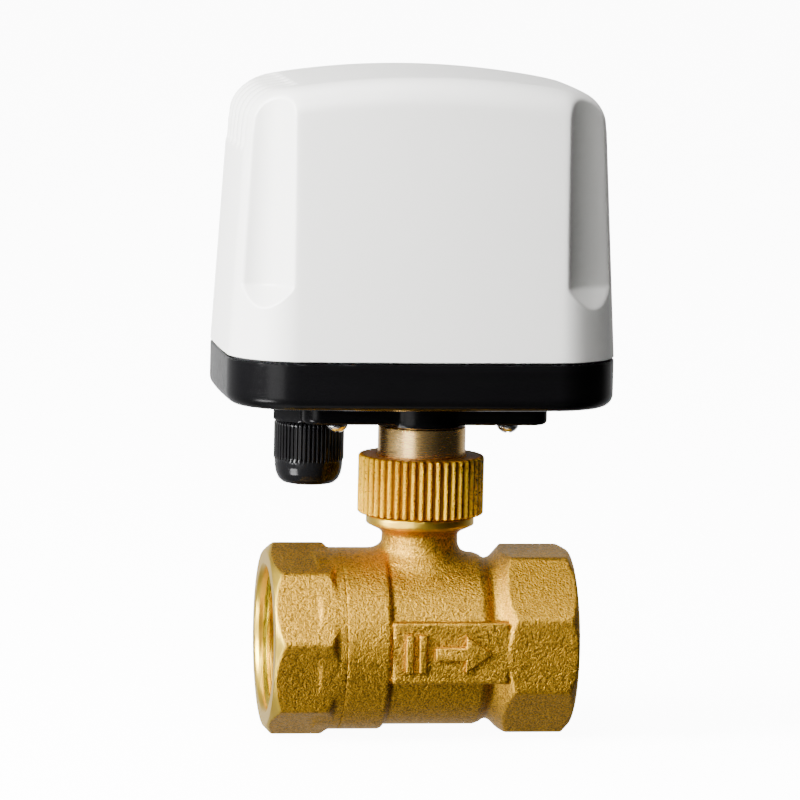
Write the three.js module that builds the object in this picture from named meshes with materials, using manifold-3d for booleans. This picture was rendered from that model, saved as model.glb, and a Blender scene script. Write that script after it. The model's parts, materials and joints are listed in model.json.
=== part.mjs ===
// Motorised DN25 ball valve: brass two-piece ball valve, knurled union nut and a
// plastic-housed electric actuator with its gear train, limit switches and board.
// Units are millimetres. Origin: ball centre, where the flow axis (X) meets the stem axis (Z).
// -Y is the front, +Z runs up the stem to the actuator.
import * as THREE from 'three';
import { mergeVertices } from 'three/addons/utils/BufferGeometryUtils.js';
import Module from 'manifold-3d';

// ---------- driving dimensions ----------
const GAP = 0.3;                 // clearance between neighbouring pieces
// brass valve, along X
const FACE_L = -35.5, FACE_R = 34.5;      // pipe end faces
const OCT_R = 22.2;                       // octagon circumradius, 41 mm across flats
const OCT_PH_L = 4.6, OCT_PH_R = 19.4;    // clocking of each octagon: a corner this many degrees above the front
const SEAM_X = -19.1;                     // end cap meets body
const ROUND_R = 20.88, MID_R = 19.8, GROOVE_R = 18.7;
const THREAD_R = 15.6, THREAD_END = 19.0; // G1 female thread as a plain bore of mean radius
const FLOW_R = 10.4, BALL_R = 15.5, BALL_BORE = 10.0, CHAMBER_R = 17.0;
const CAP_SPIGOT_R = 17.9;
// neck, nut and sleeve, along Z
const NECK_R = 8.7, COLLAR_R = 12.4, NECK_THREAD_R = 11.8, NECK_TOP = 36.4;
const NUT_R = 14.46, NUT_Z0 = 29.0, NUT_Z1 = 42.6, NUT_KNURLS = 46, NUT_LIP_Z = 39.6;
const SLEEVE_NARROW_R = 8.6; // where the sleeve passes through the base
const SLEEVE_R = 10.05, SLEEVE_Z0 = 36.8, SLEEVE_BORE = 7.0;
// actuator housing
const HC = [-2.6, 2.5];          // housing centre in plan
const HX = 43.6, HY = 29.2, HBX = 1.0, HBY = 1.8, HR = 14; // half sizes, wall bulges, corner radius
const BASE_Z0 = 55.7, SEAM_Z = 66.5, WALL = 2.5;
const PLAT_Z0 = 50.1, PLAT_X = 28.3, PLAT_Y0 = -8.0, PLAT_Y1 = 27.0, BOSS_R = 10.15, BOSS_Z0 = 49.6;
const TOP_Z = 130.5, TOP_RAD = 190, DRAFT = Math.tan(3.2 * Math.PI / 180);
const FLUTE_R = 11.25, FLUTE_RT = 12.3, FLUTE_D = 20.6, FLUTE_A = 38 * Math.PI / 180, LEDGE_Z = 83.3; // corner screwdriver flutes
// gland
const GLAND = [-24.8, 9.0], GLAND_R = 8.1;
// gear train
const MODULE = 0.75, T_OUT = 40, T_BIG = 32, T_PIN = 10;
const MOTOR = [-24.0, 5.0], INTER = [-16.53, -8.87];
const PLATE1 = 64.0, PLATE2 = 78.0, PLATE_T = 1.5;

// ---------- helpers ----------
const wasm = await Module(); wasm.setup();
const D2R = Math.PI / 180;
function clean(geo) {
  const g = geo.clone(); g.deleteAttribute('normal'); g.deleteAttribute('uv');
  const m = mergeVertices(g, 1e-4);
  const p = m.attributes.position.array, idx = m.index.array, out = [];
  let vol = 0;
  for (let i = 0; i < idx.length; i += 3) {
    const a = idx[i], b = idx[i + 1], c = idx[i + 2];
    if (a === b || b === c || a === c) continue;
    out.push(a, b, c);
    const A = [p[3*a], p[3*a+1], p[3*a+2]], B = [p[3*b], p[3*b+1], p[3*b+2]], C = [p[3*c], p[3*c+1], p[3*c+2]];
    vol += A[0]*(B[1]*C[2]-B[2]*C[1]) + A[1]*(B[2]*C[0]-B[0]*C[2]) + A[2]*(B[0]*C[1]-B[1]*C[0]);
  }
  if (vol < 0) for (let i = 0; i < out.length; i += 3) { const t = out[i]; out[i] = out[i+1]; out[i+1] = t; }
  m.setIndex(out); return m;
}
function M(geo) {
  const g = clean(geo);
  return new wasm.Manifold(new wasm.Mesh({ numProp: 3, vertProperties: new Float32Array(g.attributes.position.array), triVerts: new Uint32Array(g.index.array) }));
}
function G(man) {
  const m = man.getMesh(), g = new THREE.BufferGeometry();
  const n = m.numProp, v = new Float32Array(m.vertProperties.length / n * 3);
  for (let i = 0; i < v.length / 3; i++) for (let k = 0; k < 3; k++) v[3*i+k] = m.vertProperties[n*i+k];
  g.setAttribute('position', new THREE.BufferAttribute(v, 3));
  g.setIndex(Array.from(m.triVerts)); g.computeVertexNormals(); return g;
}
const uni = (...a) => a.reduce((x, y) => x.add(y));
const cut = (a, ...b) => b.reduce((x, y) => x.subtract(y), a);
// revolve a closed or axis-to-axis profile [[r, z], ...] about Z
function turn(profile, seg = 48, x = 0, y = 0) {
  const pts = profile.map(([r, z]) => new THREE.Vector2(r, z));
  const a = profile[0], b = profile[profile.length - 1];
  if (a[0] > 1e-6 || b[0] > 1e-6) pts.push(new THREE.Vector2(a[0], a[1]));
  const g = new THREE.LatheGeometry(pts, seg); g.rotateX(Math.PI / 2); g.translate(x, y, 0); return M(g);
}
// same, about X, profile [[x, r], ...]
function turnX(profile, seg = 48) {
  const pts = profile.map(([x, r]) => new THREE.Vector2(r, x));
  const a = profile[0], b = profile[profile.length - 1];
  if (a[1] > 1e-6 || b[1] > 1e-6) pts.push(new THREE.Vector2(a[1], a[0]));
  const g = new THREE.LatheGeometry(pts, seg); g.rotateZ(-Math.PI / 2); return M(g);
}
function cyl(r, z0, z1, seg = 32, x = 0, y = 0) {
  const g = new THREE.CylinderGeometry(r, r, z1 - z0, seg); g.rotateX(Math.PI / 2); g.translate(x, y, (z0 + z1) / 2); return M(g);
}
function box(x0, x1, y0, y1, z0, z1) {
  const g = new THREE.BoxGeometry(x1 - x0, y1 - y0, z1 - z0); g.translate((x0+x1)/2, (y0+y1)/2, (z0+z1)/2); return M(g);
}
function prism(points, z0, z1, holes = []) {
  const s = new THREE.Shape(points.map(p => new THREE.Vector2(p[0], p[1])));
  for (const h of holes) s.holes.push(new THREE.Path(h.map(p => new THREE.Vector2(p[0], p[1]))));
  const g = new THREE.ExtrudeGeometry(s, { depth: z1 - z0, bevelEnabled: false, steps: 1 }); g.translate(0, 0, z0); return M(g);
}
const ring = (n, r, ph = 0, x = 0, y = 0) => Array.from({ length: n }, (_, i) => [x + r*Math.cos(ph + 2*Math.PI*i/n), y + r*Math.sin(ph + 2*Math.PI*i/n)]);
function octX(x0, x1, phase) {   // octagon prism along X, one corner "phase" degrees above the front
  const g = new THREE.ExtrudeGeometry(new THREE.Shape(ring(8, OCT_R, -phase * D2R).map(p => new THREE.Vector2(p[0], p[1]))), { depth: x1 - x0, bevelEnabled: false });
  g.rotateY(Math.PI / 2); g.translate(x0, 0, 0); return M(g);
}
// plan outline of the housing: rounded rectangle with gently bulged walls, inset by d
function outline(d = 0, nc = 5, nw = 3) {
  const hx = HX - d, hy = HY - d, R = Math.max(HR - d, 2), o = [];
  const cs = [[hx-R, -(hy-R), -90], [hx-R, hy-R, 0], [-(hx-R), hy-R, 90], [-(hx-R), -(hy-R), 180]];
  cs.forEach(([cx, cy, a0], i) => {
    for (let k = 0; k <= nc; k++) { const a = (a0 + 90*k/nc) * D2R; o.push([cx + R*Math.cos(a), cy + R*Math.sin(a)]); }
    const n = cs[(i+1) % 4], a = (a0 + 90) * D2R, p0 = [cx + R*Math.cos(a), cy + R*Math.sin(a)], p1 = [n[0] + R*Math.cos(a), n[1] + R*Math.sin(a)];
    for (let k = 1; k < nw; k++) o.push([p0[0] + (p1[0]-p0[0])*k/nw, p0[1] + (p1[1]-p0[1])*k/nw]);
  });
  return o.map(([x, y]) => {
    const u = Math.min(Math.abs(x)/hx, 1), v = Math.min(Math.abs(y)/hy, 1);
    return [HC[0] + x*(1 + HBX/hx*(1 - v*v)), HC[1] + y*(1 + HBY/hy*(1 - u*u))];
  });
}
// stitch rings of 3-D points (all the same length, anticlockwise seen from above) into a closed solid
function loft(rings, cBot, cTop) {
  const n = rings[0].length, v = [], idx = [];
  rings.forEach(r => r.forEach(p => v.push(...p)));
  const b = v.length / 3; v.push(...cBot); const t = v.length / 3; v.push(...cTop);
  for (let k = 0; k + 1 < rings.length; k++) for (let i = 0; i < n; i++) {
    const a = k*n + i, c = k*n + (i+1)%n, d = a + n, e = c + n; idx.push(a, c, e, a, e, d);
  }
  for (let i = 0; i < n; i++) { idx.push(b, (i+1)%n, i); const o = (rings.length-1)*n; idx.push(t, o + i, o + (i+1)%n); }
  const g = new THREE.BufferGeometry(); g.setAttribute('position', new THREE.Float32BufferAttribute(v, 3)); g.setIndex(idx);
  g.setAttribute('normal', new THREE.Float32BufferAttribute(new Float32Array(v.length), 3)); g.setAttribute('uv', new THREE.Float32BufferAttribute(new Float32Array(v.length/3*2), 2));
  return M(g);
}
const archZ = x => TOP_Z - (x - HC[0])**2 / (2 * TOP_RAD);
const group = new THREE.Group(); group.name = 'motorized_valve_actuator';
function put(name, man, color, metal = 0, rough = 0.5) {
  const m = new THREE.Mesh(man.isBufferGeometry ? man : G(man), new THREE.MeshStandardMaterial({ color, metalness: metal, roughness: rough }));
  m.name = name; group.add(m); return m;
}
const BRASS = 0xb08a3c, BRASS_MACHINED = 0xd9b25a, STEEL = 0xb9bcc0, BLACK = 0x141414, WHITE = 0xe6e6e2, PTFE = 0xf1f1ee, RUBBER = 0x1b1b1b;

// ---------- brass valve ----------
{
  const outer = uni(
    turnX([[SEAM_X, 0], [SEAM_X, ROUND_R-0.5], [SEAM_X+0.5, ROUND_R], [-9.6, ROUND_R], [-8.9, ROUND_R-0.25], [-8.3, MID_R], [13.6, MID_R], [14.4, GROOVE_R], [17.4, GROOVE_R], [17.4, 0]], 36),
    octX(15.9, FACE_R, OCT_PH_R).intersect(turnX([[15.9, 0], [15.9, GROOVE_R-0.2], [19.4, OCT_R+0.2], [FACE_R-2.1, OCT_R+0.2], [FACE_R, 20.2], [FACE_R, 0]], 36)),
    turn([[0, 13], [11.6, 13], [11.4, 17.4], [10.3, 19.4], [9.3, 20.8], [NECK_R, 22.4], [NECK_R, 24.5], [9.6, 25.3], [11.2, 26.1], [COLLAR_R, 26.7], [COLLAR_R, 28.7], [NECK_THREAD_R, 28.7], [NECK_THREAD_R, NECK_TOP-0.6], [NECK_THREAD_R-0.6, NECK_TOP], [0, NECK_TOP]], 28),
    box(-8.5, 18.2, -20.3, -15, -7.5, 6.6));
  // raised direction mark on the pad: two bars and a plain arrow
  const mark = [box(-5.6, -3.9, -20.85, -20, -4.8, 3.8), box(-2.6, -0.9, -20.85, -20, -4.8, 3.8)];
  const ar = new THREE.ExtrudeGeometry(new THREE.Shape([[1.2,-1.3],[8.2,-1.3],[8.2,-4.0],[14.2,0.1],[8.2,4.2],[8.2,1.5],[1.2,1.5]].map(p => new THREE.Vector2(...p))), { depth: 0.85, bevelEnabled: false });
  ar.rotateX(Math.PI/2); ar.translate(0, -20.0, -0.6); mark.push(M(ar));
  put('valve_body', cut(uni(outer, ...mark),
    turnX([[SEAM_X-1, 0], [SEAM_X-1, CAP_SPIGOT_R+GAP], [-12.0, CAP_SPIGOT_R+GAP], [-12.0, CHAMBER_R], [9.0, CHAMBER_R], [9.0, 14.6], [13.6, 14.6], [13.6, FLOW_R], [THREAD_END, FLOW_R], [THREAD_END, THREAD_R], [FACE_R-1.3, THREAD_R], [FACE_R, 16.8], [FACE_R+1, 16.8], [FACE_R+1, 0]], 36),
    cyl(6.9, 10, 19.4, 20), cyl(5.2, 19, 40, 20)), BRASS, 1, 0.5);
  put('end_cap', cut(uni(
    octX(FACE_L, -21.0, OCT_PH_L).intersect(turnX([[FACE_L, 0], [FACE_L, 20.2], [FACE_L+2.1, OCT_R+0.2], [-22.6, OCT_R+0.2], [-21.0, 20.8], [-21.0, 0]], 36)),
    turnX([[-24, 0], [-24, ROUND_R], [SEAM_X-GAP-0.5, ROUND_R], [SEAM_X-GAP, ROUND_R-0.5], [SEAM_X-GAP, CAP_SPIGOT_R], [-12.3, CAP_SPIGOT_R], [-12.3, 0]], 36)),
    turnX([[FACE_L-1, 0], [FACE_L-1, 16.8], [FACE_L, 16.8], [FACE_L+1.3, THREAD_R], [-20.4, THREAD_R], [-20.4, FLOW_R], [-13.6, FLOW_R], [-13.6, 14.6], [-11, 14.6], [-11, 0]], 36)), BRASS, 1, 0.5);
  for (const [n, s] of [['seat_ring_inlet', -1], ['seat_ring_outlet', 1]]) {
    // seat: ring with a face dished to the ball
    const prof = [[13.3*s, FLOW_R], [11.9*s, FLOW_R]];
    for (const x of [10.2, 9.0]) prof.push([x*s, Math.sqrt((BALL_R+GAP)**2 - x*x)]);
    prof.push([9.0*s, 14.2], [13.3*s, 14.2]);
    put(n, turnX(prof, 28), PTFE, 0, 0.6);
  }
  // sealing ring between end cap and body, in a groove turned on the cap shoulder
  const bp = [];
  for (let i = 0; i <= 8; i++) { const a = Math.asin(BALL_BORE/BALL_R) + (Math.PI - 2*Math.asin(BALL_BORE/BALL_R))*i/8; bp.push([-BALL_R*Math.cos(a), BALL_R*Math.sin(a)]); }
  put('ball', cut(turnX(bp, 28), box(-2.6, 2.6, -16, 16, 11.9, 17)), 0xd8dadc, 1, 0.15);
  put('valve_stem', uni(box(-2.2, 2.2, -5.6, 5.6, 12.3, 16.6),
    turn([[0, 16.2], [6.2, 16.2], [6.2, 18.1], [4.6, 18.1], [4.6, 23.0], [3.3, 23.0], [3.3, 25.0], [4.6, 25.0], [4.6, 28.4], [3.3, 28.4], [3.3, 30.4], [4.6, 30.4], [4.6, 36.0], [0, 36.0]], 20),
    box(-2.0, 2.0, -4.1, 4.1, 35.5, 43.0)), BRASS_MACHINED, 1, 0.3);
  for (const [n, z] of [['stem_oring_lower', 24.0], ['stem_oring_upper', 29.4]]) put(n, M(new THREE.TorusGeometry(4.25, 0.6, 6, 20).translate(0, 0, z)), RUBBER, 0, 0.7);
  put('stem_thrust_washer', turn([[4.95, 18.45], [6.5, 18.45], [6.5, 19.1], [4.95, 19.1]], 20), PTFE, 0, 0.6);
}

// ---------- union nut, sleeve ----------
{
  const pts = [];
  for (let i = 0; i < NUT_KNURLS; i++) for (const [f, r] of [[-0.5, NUT_R-0.6], [0, NUT_R]]) {
    const a = 2*Math.PI*(i + f)/NUT_KNURLS; pts.push([r*Math.cos(a), r*Math.sin(a)]);
  }
  put('union_nut', cut(prism(pts, NUT_Z0, NUT_Z1).intersect(turn([[0, NUT_Z0], [13.7, NUT_Z0], [NUT_R+0.2, NUT_Z0+0.9], [NUT_R+0.2, NUT_Z1-1.5], [13.0, NUT_Z1], [0, NUT_Z1]], 46)),
    cyl(NECK_THREAD_R+0.4, 20, NUT_LIP_Z, 46), cyl(SLEEVE_R+0.35, 20, 50, 46)), 0xc8921f, 1, 0.45);
  put('mounting_sleeve', cut(turn([[0, SLEEVE_Z0], [11.8, SLEEVE_Z0], [11.8, 39.2], [SLEEVE_R, 39.2], [SLEEVE_R, BOSS_Z0-GAP], [SLEEVE_NARROW_R, BOSS_Z0-GAP], [SLEEVE_NARROW_R, 58.8], [13.2, 58.8], [13.2, 60.8], [0, 60.8]], 32), cyl(SLEEVE_BORE, 30, 70, 24)), BRASS_MACHINED, 1, 0.3);
}

// ---------- housing ----------
const flutes = [[-1,-1,'front_left'], [1,-1,'front_right'], [-1,1,'rear_left'], [1,1,'rear_right']];
const arc = HR; // corner arc centres
const fc = (sx, sy, d) => [HC[0] + sx*(HX-arc) + sx*d*Math.sin(FLUTE_A), HC[1] + sy*(HY+HBY*0.3-arc) + sy*d*Math.cos(FLUTE_A)];
const SCREW_D = 7.4;   // cover screws, measured out from each corner arc's centre
{
  const ringAt = (d, z) => outline(d).map(([x, y]) => [x, y, z]);
  let base = loft([ringAt(2.6, BASE_Z0), ringAt(1.2, BASE_Z0+0.5), ringAt(0.35, BASE_Z0+1.5), ringAt(0, BASE_Z0+3), ringAt(0, SEAM_Z)], [...HC, BASE_Z0], [...HC, SEAM_Z]);
  const rr = (x0, x1, y0, y1, r, n = 4) => { const o = []; [[x1-r,y0+r,-90],[x1-r,y1-r,0],[x0+r,y1-r,90],[x0+r,y0+r,180]].forEach(([cx,cy,a0]) => { for (let k=0;k<=n;k++){const a=(a0+90*k/n)*D2R; o.push([cx+r*Math.cos(a), cy+r*Math.sin(a)]);} }); return o; };
  base = uni(base, prism(rr(-PLAT_X, PLAT_X, PLAT_Y0, PLAT_Y1, 4), PLAT_Z0, BASE_Z0+1.5), cyl(BOSS_R, BOSS_Z0, BASE_Z0+1, 36));
  base = cut(base, loft([ringAt(3.2, BASE_Z0+2.5), ringAt(3.2, SEAM_Z+1)], [...HC, BASE_Z0+2.5], [...HC, SEAM_Z+1]),
    cut(prism(rr(-PLAT_X+2.4, PLAT_X-2.4, PLAT_Y0+2.4, PLAT_Y1-2.4, 2), PLAT_Z0+2.4, BASE_Z0+3), cyl(12.6, 40, 70, 28), cyl(GLAND_R+3.8, 40, BASE_Z0+2.5, 24, ...GLAND)));
  const posts = [];
  for (const [x, y] of [[-20.3,-4.5],[19.1,-4.5],[-20.3,21.5],[19.1,21.5]]) posts.push(cyl(3.4, PLAT_Z0+1, PLATE1-GAP, 14, x, y));
  for (const [sx, sy] of flutes) { const [x, y] = fc(sx, sy, SCREW_D); posts.push(cyl(3.9, BASE_Z0+1.5, SEAM_Z, 14, x, y)); }
  base = uni(base, ...posts);
  base = cut(base, cyl(SLEEVE_NARROW_R+0.3, 40, BASE_Z0+2.5+0.01, 32), cyl(13.4, BASE_Z0+2.49, 70, 32), cyl(6.3, 50, 70, 32, ...GLAND),
    cyl(GLAND_R+1.6, BASE_Z0-8, BASE_Z0-0.001, 32, ...GLAND), cyl(9.4, BASE_Z0+2.49, 70, 24, ...GLAND));
  for (const [x, y] of [[-20.3,-4.5],[19.1,-4.5],[-20.3,21.5],[19.1,21.5]]) base = cut(base, cyl(1.8, 40, 70, 12, x, y));
  for (const [sx, sy] of flutes) { const [x, y] = fc(sx, sy, SCREW_D); base = cut(base, cyl(1.8, 50, 70, 12, x, y), cyl(3.2, 50, 58.4, 14, x, y)); }
  base = cut(base, cut(loft([ringAt(1.0, SEAM_Z-1.3), ringAt(1.0, SEAM_Z+1)], [...HC, SEAM_Z-1.3], [...HC, SEAM_Z+1]), loft([ringAt(2.3, SEAM_Z-2), ringAt(2.3, SEAM_Z+2)], [...HC, SEAM_Z-2], [...HC, SEAM_Z+2])));
  put('base', base, BLACK, 0, 0.45);
  put('cover_gasket', cut(loft([ringAt(1.3, SEAM_Z-1.0), ringAt(1.3, SEAM_Z)], [...HC, SEAM_Z-1.0], [...HC, SEAM_Z]), loft([ringAt(2.0, SEAM_Z-2), ringAt(2.0, SEAM_Z+2)], [...HC, SEAM_Z-2], [...HC, SEAM_Z+2])), RUBBER, 0, 0.8);

  // cover: drafted walls, rounded top edge, top arched in X
  const Z0 = SEAM_Z + GAP;
  const coverLoft = (off, drop, z0, fr) => {
    const zw = 118, rings = [];
    const at = (extra, zf) => outline(off + extra).map(([x, y]) => [x, y, zf(x)]);
    rings.push(at(0, () => z0));
    rings.push(at((92 - Z0)*DRAFT, () => 92));
    rings.push(at((zw - Z0)*DRAFT, () => zw));
    const e = (zw - Z0)*DRAFT + 0.2;
    for (const t of [0.1, 0.4, 0.7, 0.95]) { const a = t*Math.PI/2; rings.push(at(e + fr*(1-Math.cos(a)), x => archZ(x) - drop - fr*(1-Math.sin(a)))); }
    const last = rings[rings.length-1];
    for (const s of [0.72, 0.42]) rings.push(last.map(([x, y]) => { const X = HC[0] + (x-HC[0])*s, Y = HC[1] + (y-HC[1])*s; return [X, Y, archZ(X) - drop]; }));
    return loft(rings, [...HC, z0], [...HC, TOP_Z - drop]);
  };
  let shell = coverLoft(0, 0, Z0, 6.0), cavity = coverLoft(WALL, WALL, Z0 - 1, 4.0);
  let screws = [];
  for (const [sx, sy] of flutes) {
    const [x, y] = fc(sx, sy, FLUTE_D), [px, py] = fc(sx, sy, SCREW_D);
    shell = cut(shell, turn([[0, LEDGE_Z-5.2], [6.4, LEDGE_Z-5.2], [8.2, LEDGE_Z-3.6], [10.2, LEDGE_Z-1.3], [FLUTE_R, LEDGE_Z+0.2], [FLUTE_RT, 126], [FLUTE_RT, 140], [0, 140]], 32, x, y));
    cavity = cut(cavity, turn([[0, 60], [FLUTE_R+WALL-0.1, 60], [FLUTE_R+WALL-0.1, LEDGE_Z], [FLUTE_RT+WALL-0.1, 126], [FLUTE_RT+WALL-0.1, 140], [0, 140]], 28, x, y), cyl(4.1, 60, 80, 14, px, py));
    screws.push([px, py]);
  }
  let cover = cut(shell, cavity);
  for (const [x, y] of screws) cover = cut(cover, cyl(1.8, 60, 77.0, 12, x, y));
  put('cover', cover, WHITE, 0, 0.35);
  // a cross-recess pan-head screw, head underside at z, pointing down (dir -1) or up (+1)
  const screw = (x, y, z, len, dir, rh, hh) => {
    const s = dir, g = turn([[0, z + s*len], [1.45, z + s*(len-0.1)], [1.5, z], [rh, z], [rh, z - s*hh*0.45], [rh*0.72, z - s*hh], [0, z - s*hh]], 12, x, y);
    const zt = z - s*hh, q = Math.min(zt, zt + s*1.0), w = Math.max(zt, zt + s*1.0);
    return cut(g, box(x-0.4, x+0.4, y-1.4, y+1.4, q - (s>0?1:0), w + (s>0?0:1)), box(x-1.4, x+1.4, y-0.4, y+0.4, q - (s>0?1:0), w + (s>0?0:1)));
  };
  flutes.forEach(([sx, sy, n], i) => put('cover_screw_' + n, screw(...screws[i], 58.1, 17.6, 1, 2.9, 1.9), STEEL, 1, 0.3));
  [[-20.3,-4.5,'front_left'],[19.1,-4.5,'front_right'],[-20.3,21.5,'rear_left'],[19.1,21.5,'rear_right']].forEach(([x, y, n]) => put('base_screw_' + n, screw(x, y, PLAT_Z0-GAP, 13.2, 1, 2.5, 1.7), STEEL, 1, 0.25));
}

// ---------- cable gland ----------
{
  const [x, y] = GLAND;
  put('gland_body', cut(uni(prism(ring(6, 9.4, 0.35, x, y), 49.5, BASE_Z0-GAP), turn([[0, 42.5], [5.9, 42.5], [5.9, 63.4], [0, 63.4]], 20, x, y)), cyl(4.3, 30, 70, 16, x, y)), BLACK, 0, 0.4);
  const ribs = []; const NR = 26;
  for (let i = 0; i < NR; i++) for (const [f, r] of [[-0.25, GLAND_R], [0.25, GLAND_R], [0.36, GLAND_R-0.45], [0.64, GLAND_R-0.45]]) { const a = 2*Math.PI*(i+f)/NR; ribs.push([x + r*Math.cos(a), y + r*Math.sin(a)]); }
  const dome = uni(prism(ribs, 40.4, 49.2), turn([[0, 34.8], [5.2, 34.8], [6.3, 35.3], [7.2, 36.4], [7.75, 38.2], [7.85, 40.6], [0, 40.6]], 26, x, y));
  put('gland_dome_nut', cut(dome, cyl(4.6, 30, 39, 20, x, y), cyl(6.3, 37.5, 50, 20, x, y)), BLACK, 0, 0.35);
  put('gland_seal', turn([[3.2, 38.0], [5.6, 38.0], [5.6, 42.1], [3.2, 42.1]], 18, x, y), RUBBER, 0, 0.8);
  put('gland_locknut', cut(prism(ring(6, 8.9, 0.35, x, y), BASE_Z0+2.5+GAP, 62.6), cyl(6.25, 50, 70, 20, x, y)), BLACK, 0, 0.45);
}

// ---------- gear train and plates ----------
function gear(n, z0, z1, bore, x, y, phase, clr = 0.12) {
  const rp = MODULE*n/2, ro = rp + MODULE*0.9 - clr, ri = rp - MODULE*1.15, pts = [];
  for (let i = 0; i < n; i++) for (const [f, r] of [[-0.27, ri], [-0.11, ro], [0.11, ro], [0.27, ri]]) { const a = phase + 2*Math.PI*(i+f)/n; pts.push([x + r*Math.cos(a), y + r*Math.sin(a)]); }
  return prism(pts, z0, z1, bore ? [ring(20, bore, 0, x, y).reverse()] : []);
}
{
  const plate = (z, holes) => { const o = [[-32,-16],[24,-16],[24,21.2],[-32,21.2]]; return prism(o, z, z+PLATE_T, holes.map(([x,y,r,n]) => ring(n||20, r, 0, x, y).reverse())); };
  const sp = [[-29.8,-1.5],[20.5,-13],[-29,18.5],[20.5,18.5]];
  put('gear_plate_lower', plate(PLATE1, [[0,0,7.4,32]]), STEEL, 1, 0.4);
  put('gear_plate_upper', plate(PLATE2, [[0,0,4.2,24],[...MOTOR,4.6,24]]), STEEL, 1, 0.4);
  sp.forEach(([x, y], i) => put('plate_spacer_' + (i+1), cyl(2.2, PLATE1+PLATE_T+GAP, PLATE2-GAP, 12, x, y), STEEL, 1, 0.35));
  put('output_shaft', cut(uni(turn([[0, 37.2], [6.5, 37.2], [6.5, 62.0], [3.5, 62.0], [3.5, 92.0], [0, 92.0]], 28)), box(-2.4, 2.4, -8, 8, 30, 43.6)), STEEL, 1, 0.3);
  const aI = Math.atan2(INTER[1], INTER[0]);
  put('output_gear', gear(T_OUT, 66.6, 70.4, 3.85, 0, 0, aI), STEEL, 1, 0.35);
  // compound gear: small pinion under the large wheel
  const pm = aI + Math.PI + Math.PI/T_PIN, aM = Math.atan2(MOTOR[1]-INTER[1], MOTOR[0]-INTER[0]);
  put('intermediate_gear', uni(gear(T_PIN, 66.6, 71.2, 0, ...INTER, pm), gear(T_BIG, 71.1, 74.0, 0, ...INTER, aM)).subtract(cyl(1.5, 60, 80, 20, ...INTER)), BRASS_MACHINED, 1, 0.35);
  put('gear_axle', cyl(1.2, PLATE1+PLATE_T+GAP, PLATE2-GAP, 16, ...INTER), STEEL, 1, 0.25);
  put('motor_pinion', uni(gear(T_PIN, 71.1, 75.2, 0, ...MOTOR, aM + Math.PI + Math.PI/T_PIN), cyl(1.25, 75.0, 79.7, 16, ...MOTOR)), STEEL, 1, 0.3);
  put('motor_can', uni(cyl(17, 80.0, 98.0, 48, ...MOTOR), box(MOTOR[0]-3.5, MOTOR[0]+3.5, MOTOR[1]-20.5, MOTOR[1]+20.5, 80.0, 81.2)), STEEL, 1, 0.35);
  const cam = (z0, z1, a0) => { const p = []; for (let i = 0; i < 24; i++) { const a = 2*Math.PI*i/24, d = Math.abs(((a - a0 + 3*Math.PI) % (2*Math.PI)) - Math.PI); p.push([ (d < 0.5 ? 6.2 : d < 0.9 ? 6.2 - (d-0.5)/0.4*1.4 : 4.8)*Math.cos(a), (d < 0.5 ? 6.2 : d < 0.9 ? 6.2 - (d-0.5)/0.4*1.4 : 4.8)*Math.sin(a)]); } return prism(p, z0, z1, [ring(20, 3.85).reverse()]); };
  put('cam_open', cam(81.3, 84.0, 0), 0xd94a2b, 0, 0.5);
  put('cam_closed', cam(87.6, 90.3, -Math.PI/2), 0x2b62d9, 0, 0.5);
  for (const [n, z] of [['open', 82.65], ['closed', 88.95]]) {
    put('limit_switch_' + n, cut(box(8.0, 27.8, -3.1, 6.9, z-2.9, z+2.9), box(7, 11.9, -1.6, 1.6, z-1.6, z+1.6)), 0x20242a, 0, 0.5);
    const g = new THREE.CylinderGeometry(1.2, 1.2, 4.3, 16); g.rotateZ(Math.PI/2); g.translate(6.7 + 2.15, 0, z); put('switch_plunger_' + n, M(g), 0xe8e4d8, 0, 0.5);
  }
  put('switch_bracket', box(9.0, 26.5, 7.3, 8.6, 79.8, 93.0).add(box(9.0, 26.5, 7.3, 14.0, 79.8, 81.0)), STEEL, 1, 0.4);
}

// ---------- electronics ----------
{
  const o = []; const X0 = -34, X1 = 29, Y0 = -17, Y1 = 22;
  put('circuit_board', prism([[X0,Y0],[X1,Y0],[X1,Y1],[X0,Y1]], 103.0, 104.6), 0x1f6b3a, 0, 0.5);
  [[-29.9,-13.8],[21.5,-14.0],[-9,20.5],[21.5,20.0]].forEach(([x, y], i) => put('board_spacer_' + (i+1), cyl(2.0, PLATE2+PLATE_T+GAP, 102.7, 12, x, y), 0xcfcfcf, 0, 0.5));
  put('relay', box(-28, -9, -12, 3.5, 104.9, 119.9), 0x2b5fb0, 0, 0.4);
  const c = new THREE.CylinderGeometry(6, 6, 24, 28); c.rotateZ(Math.PI/2); c.translate(-10, 13.5, 111.2); put('motor_capacitor', M(c), 0x3a3f46, 0, 0.4);
  let tb = box(8, 27, -15, -4, 104.9, 115.0);
  for (let i = 0; i < 3; i++) tb = cut(tb, cyl(1.9, 108, 120, 14, 11.2 + i*6.3, -9.5));
  put('terminal_block', tb, 0x2f8f4a, 0, 0.5);
}
export default group;
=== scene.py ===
import bpy, bmesh, math, json
import numpy as np
from mathutils import Vector, Matrix

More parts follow.
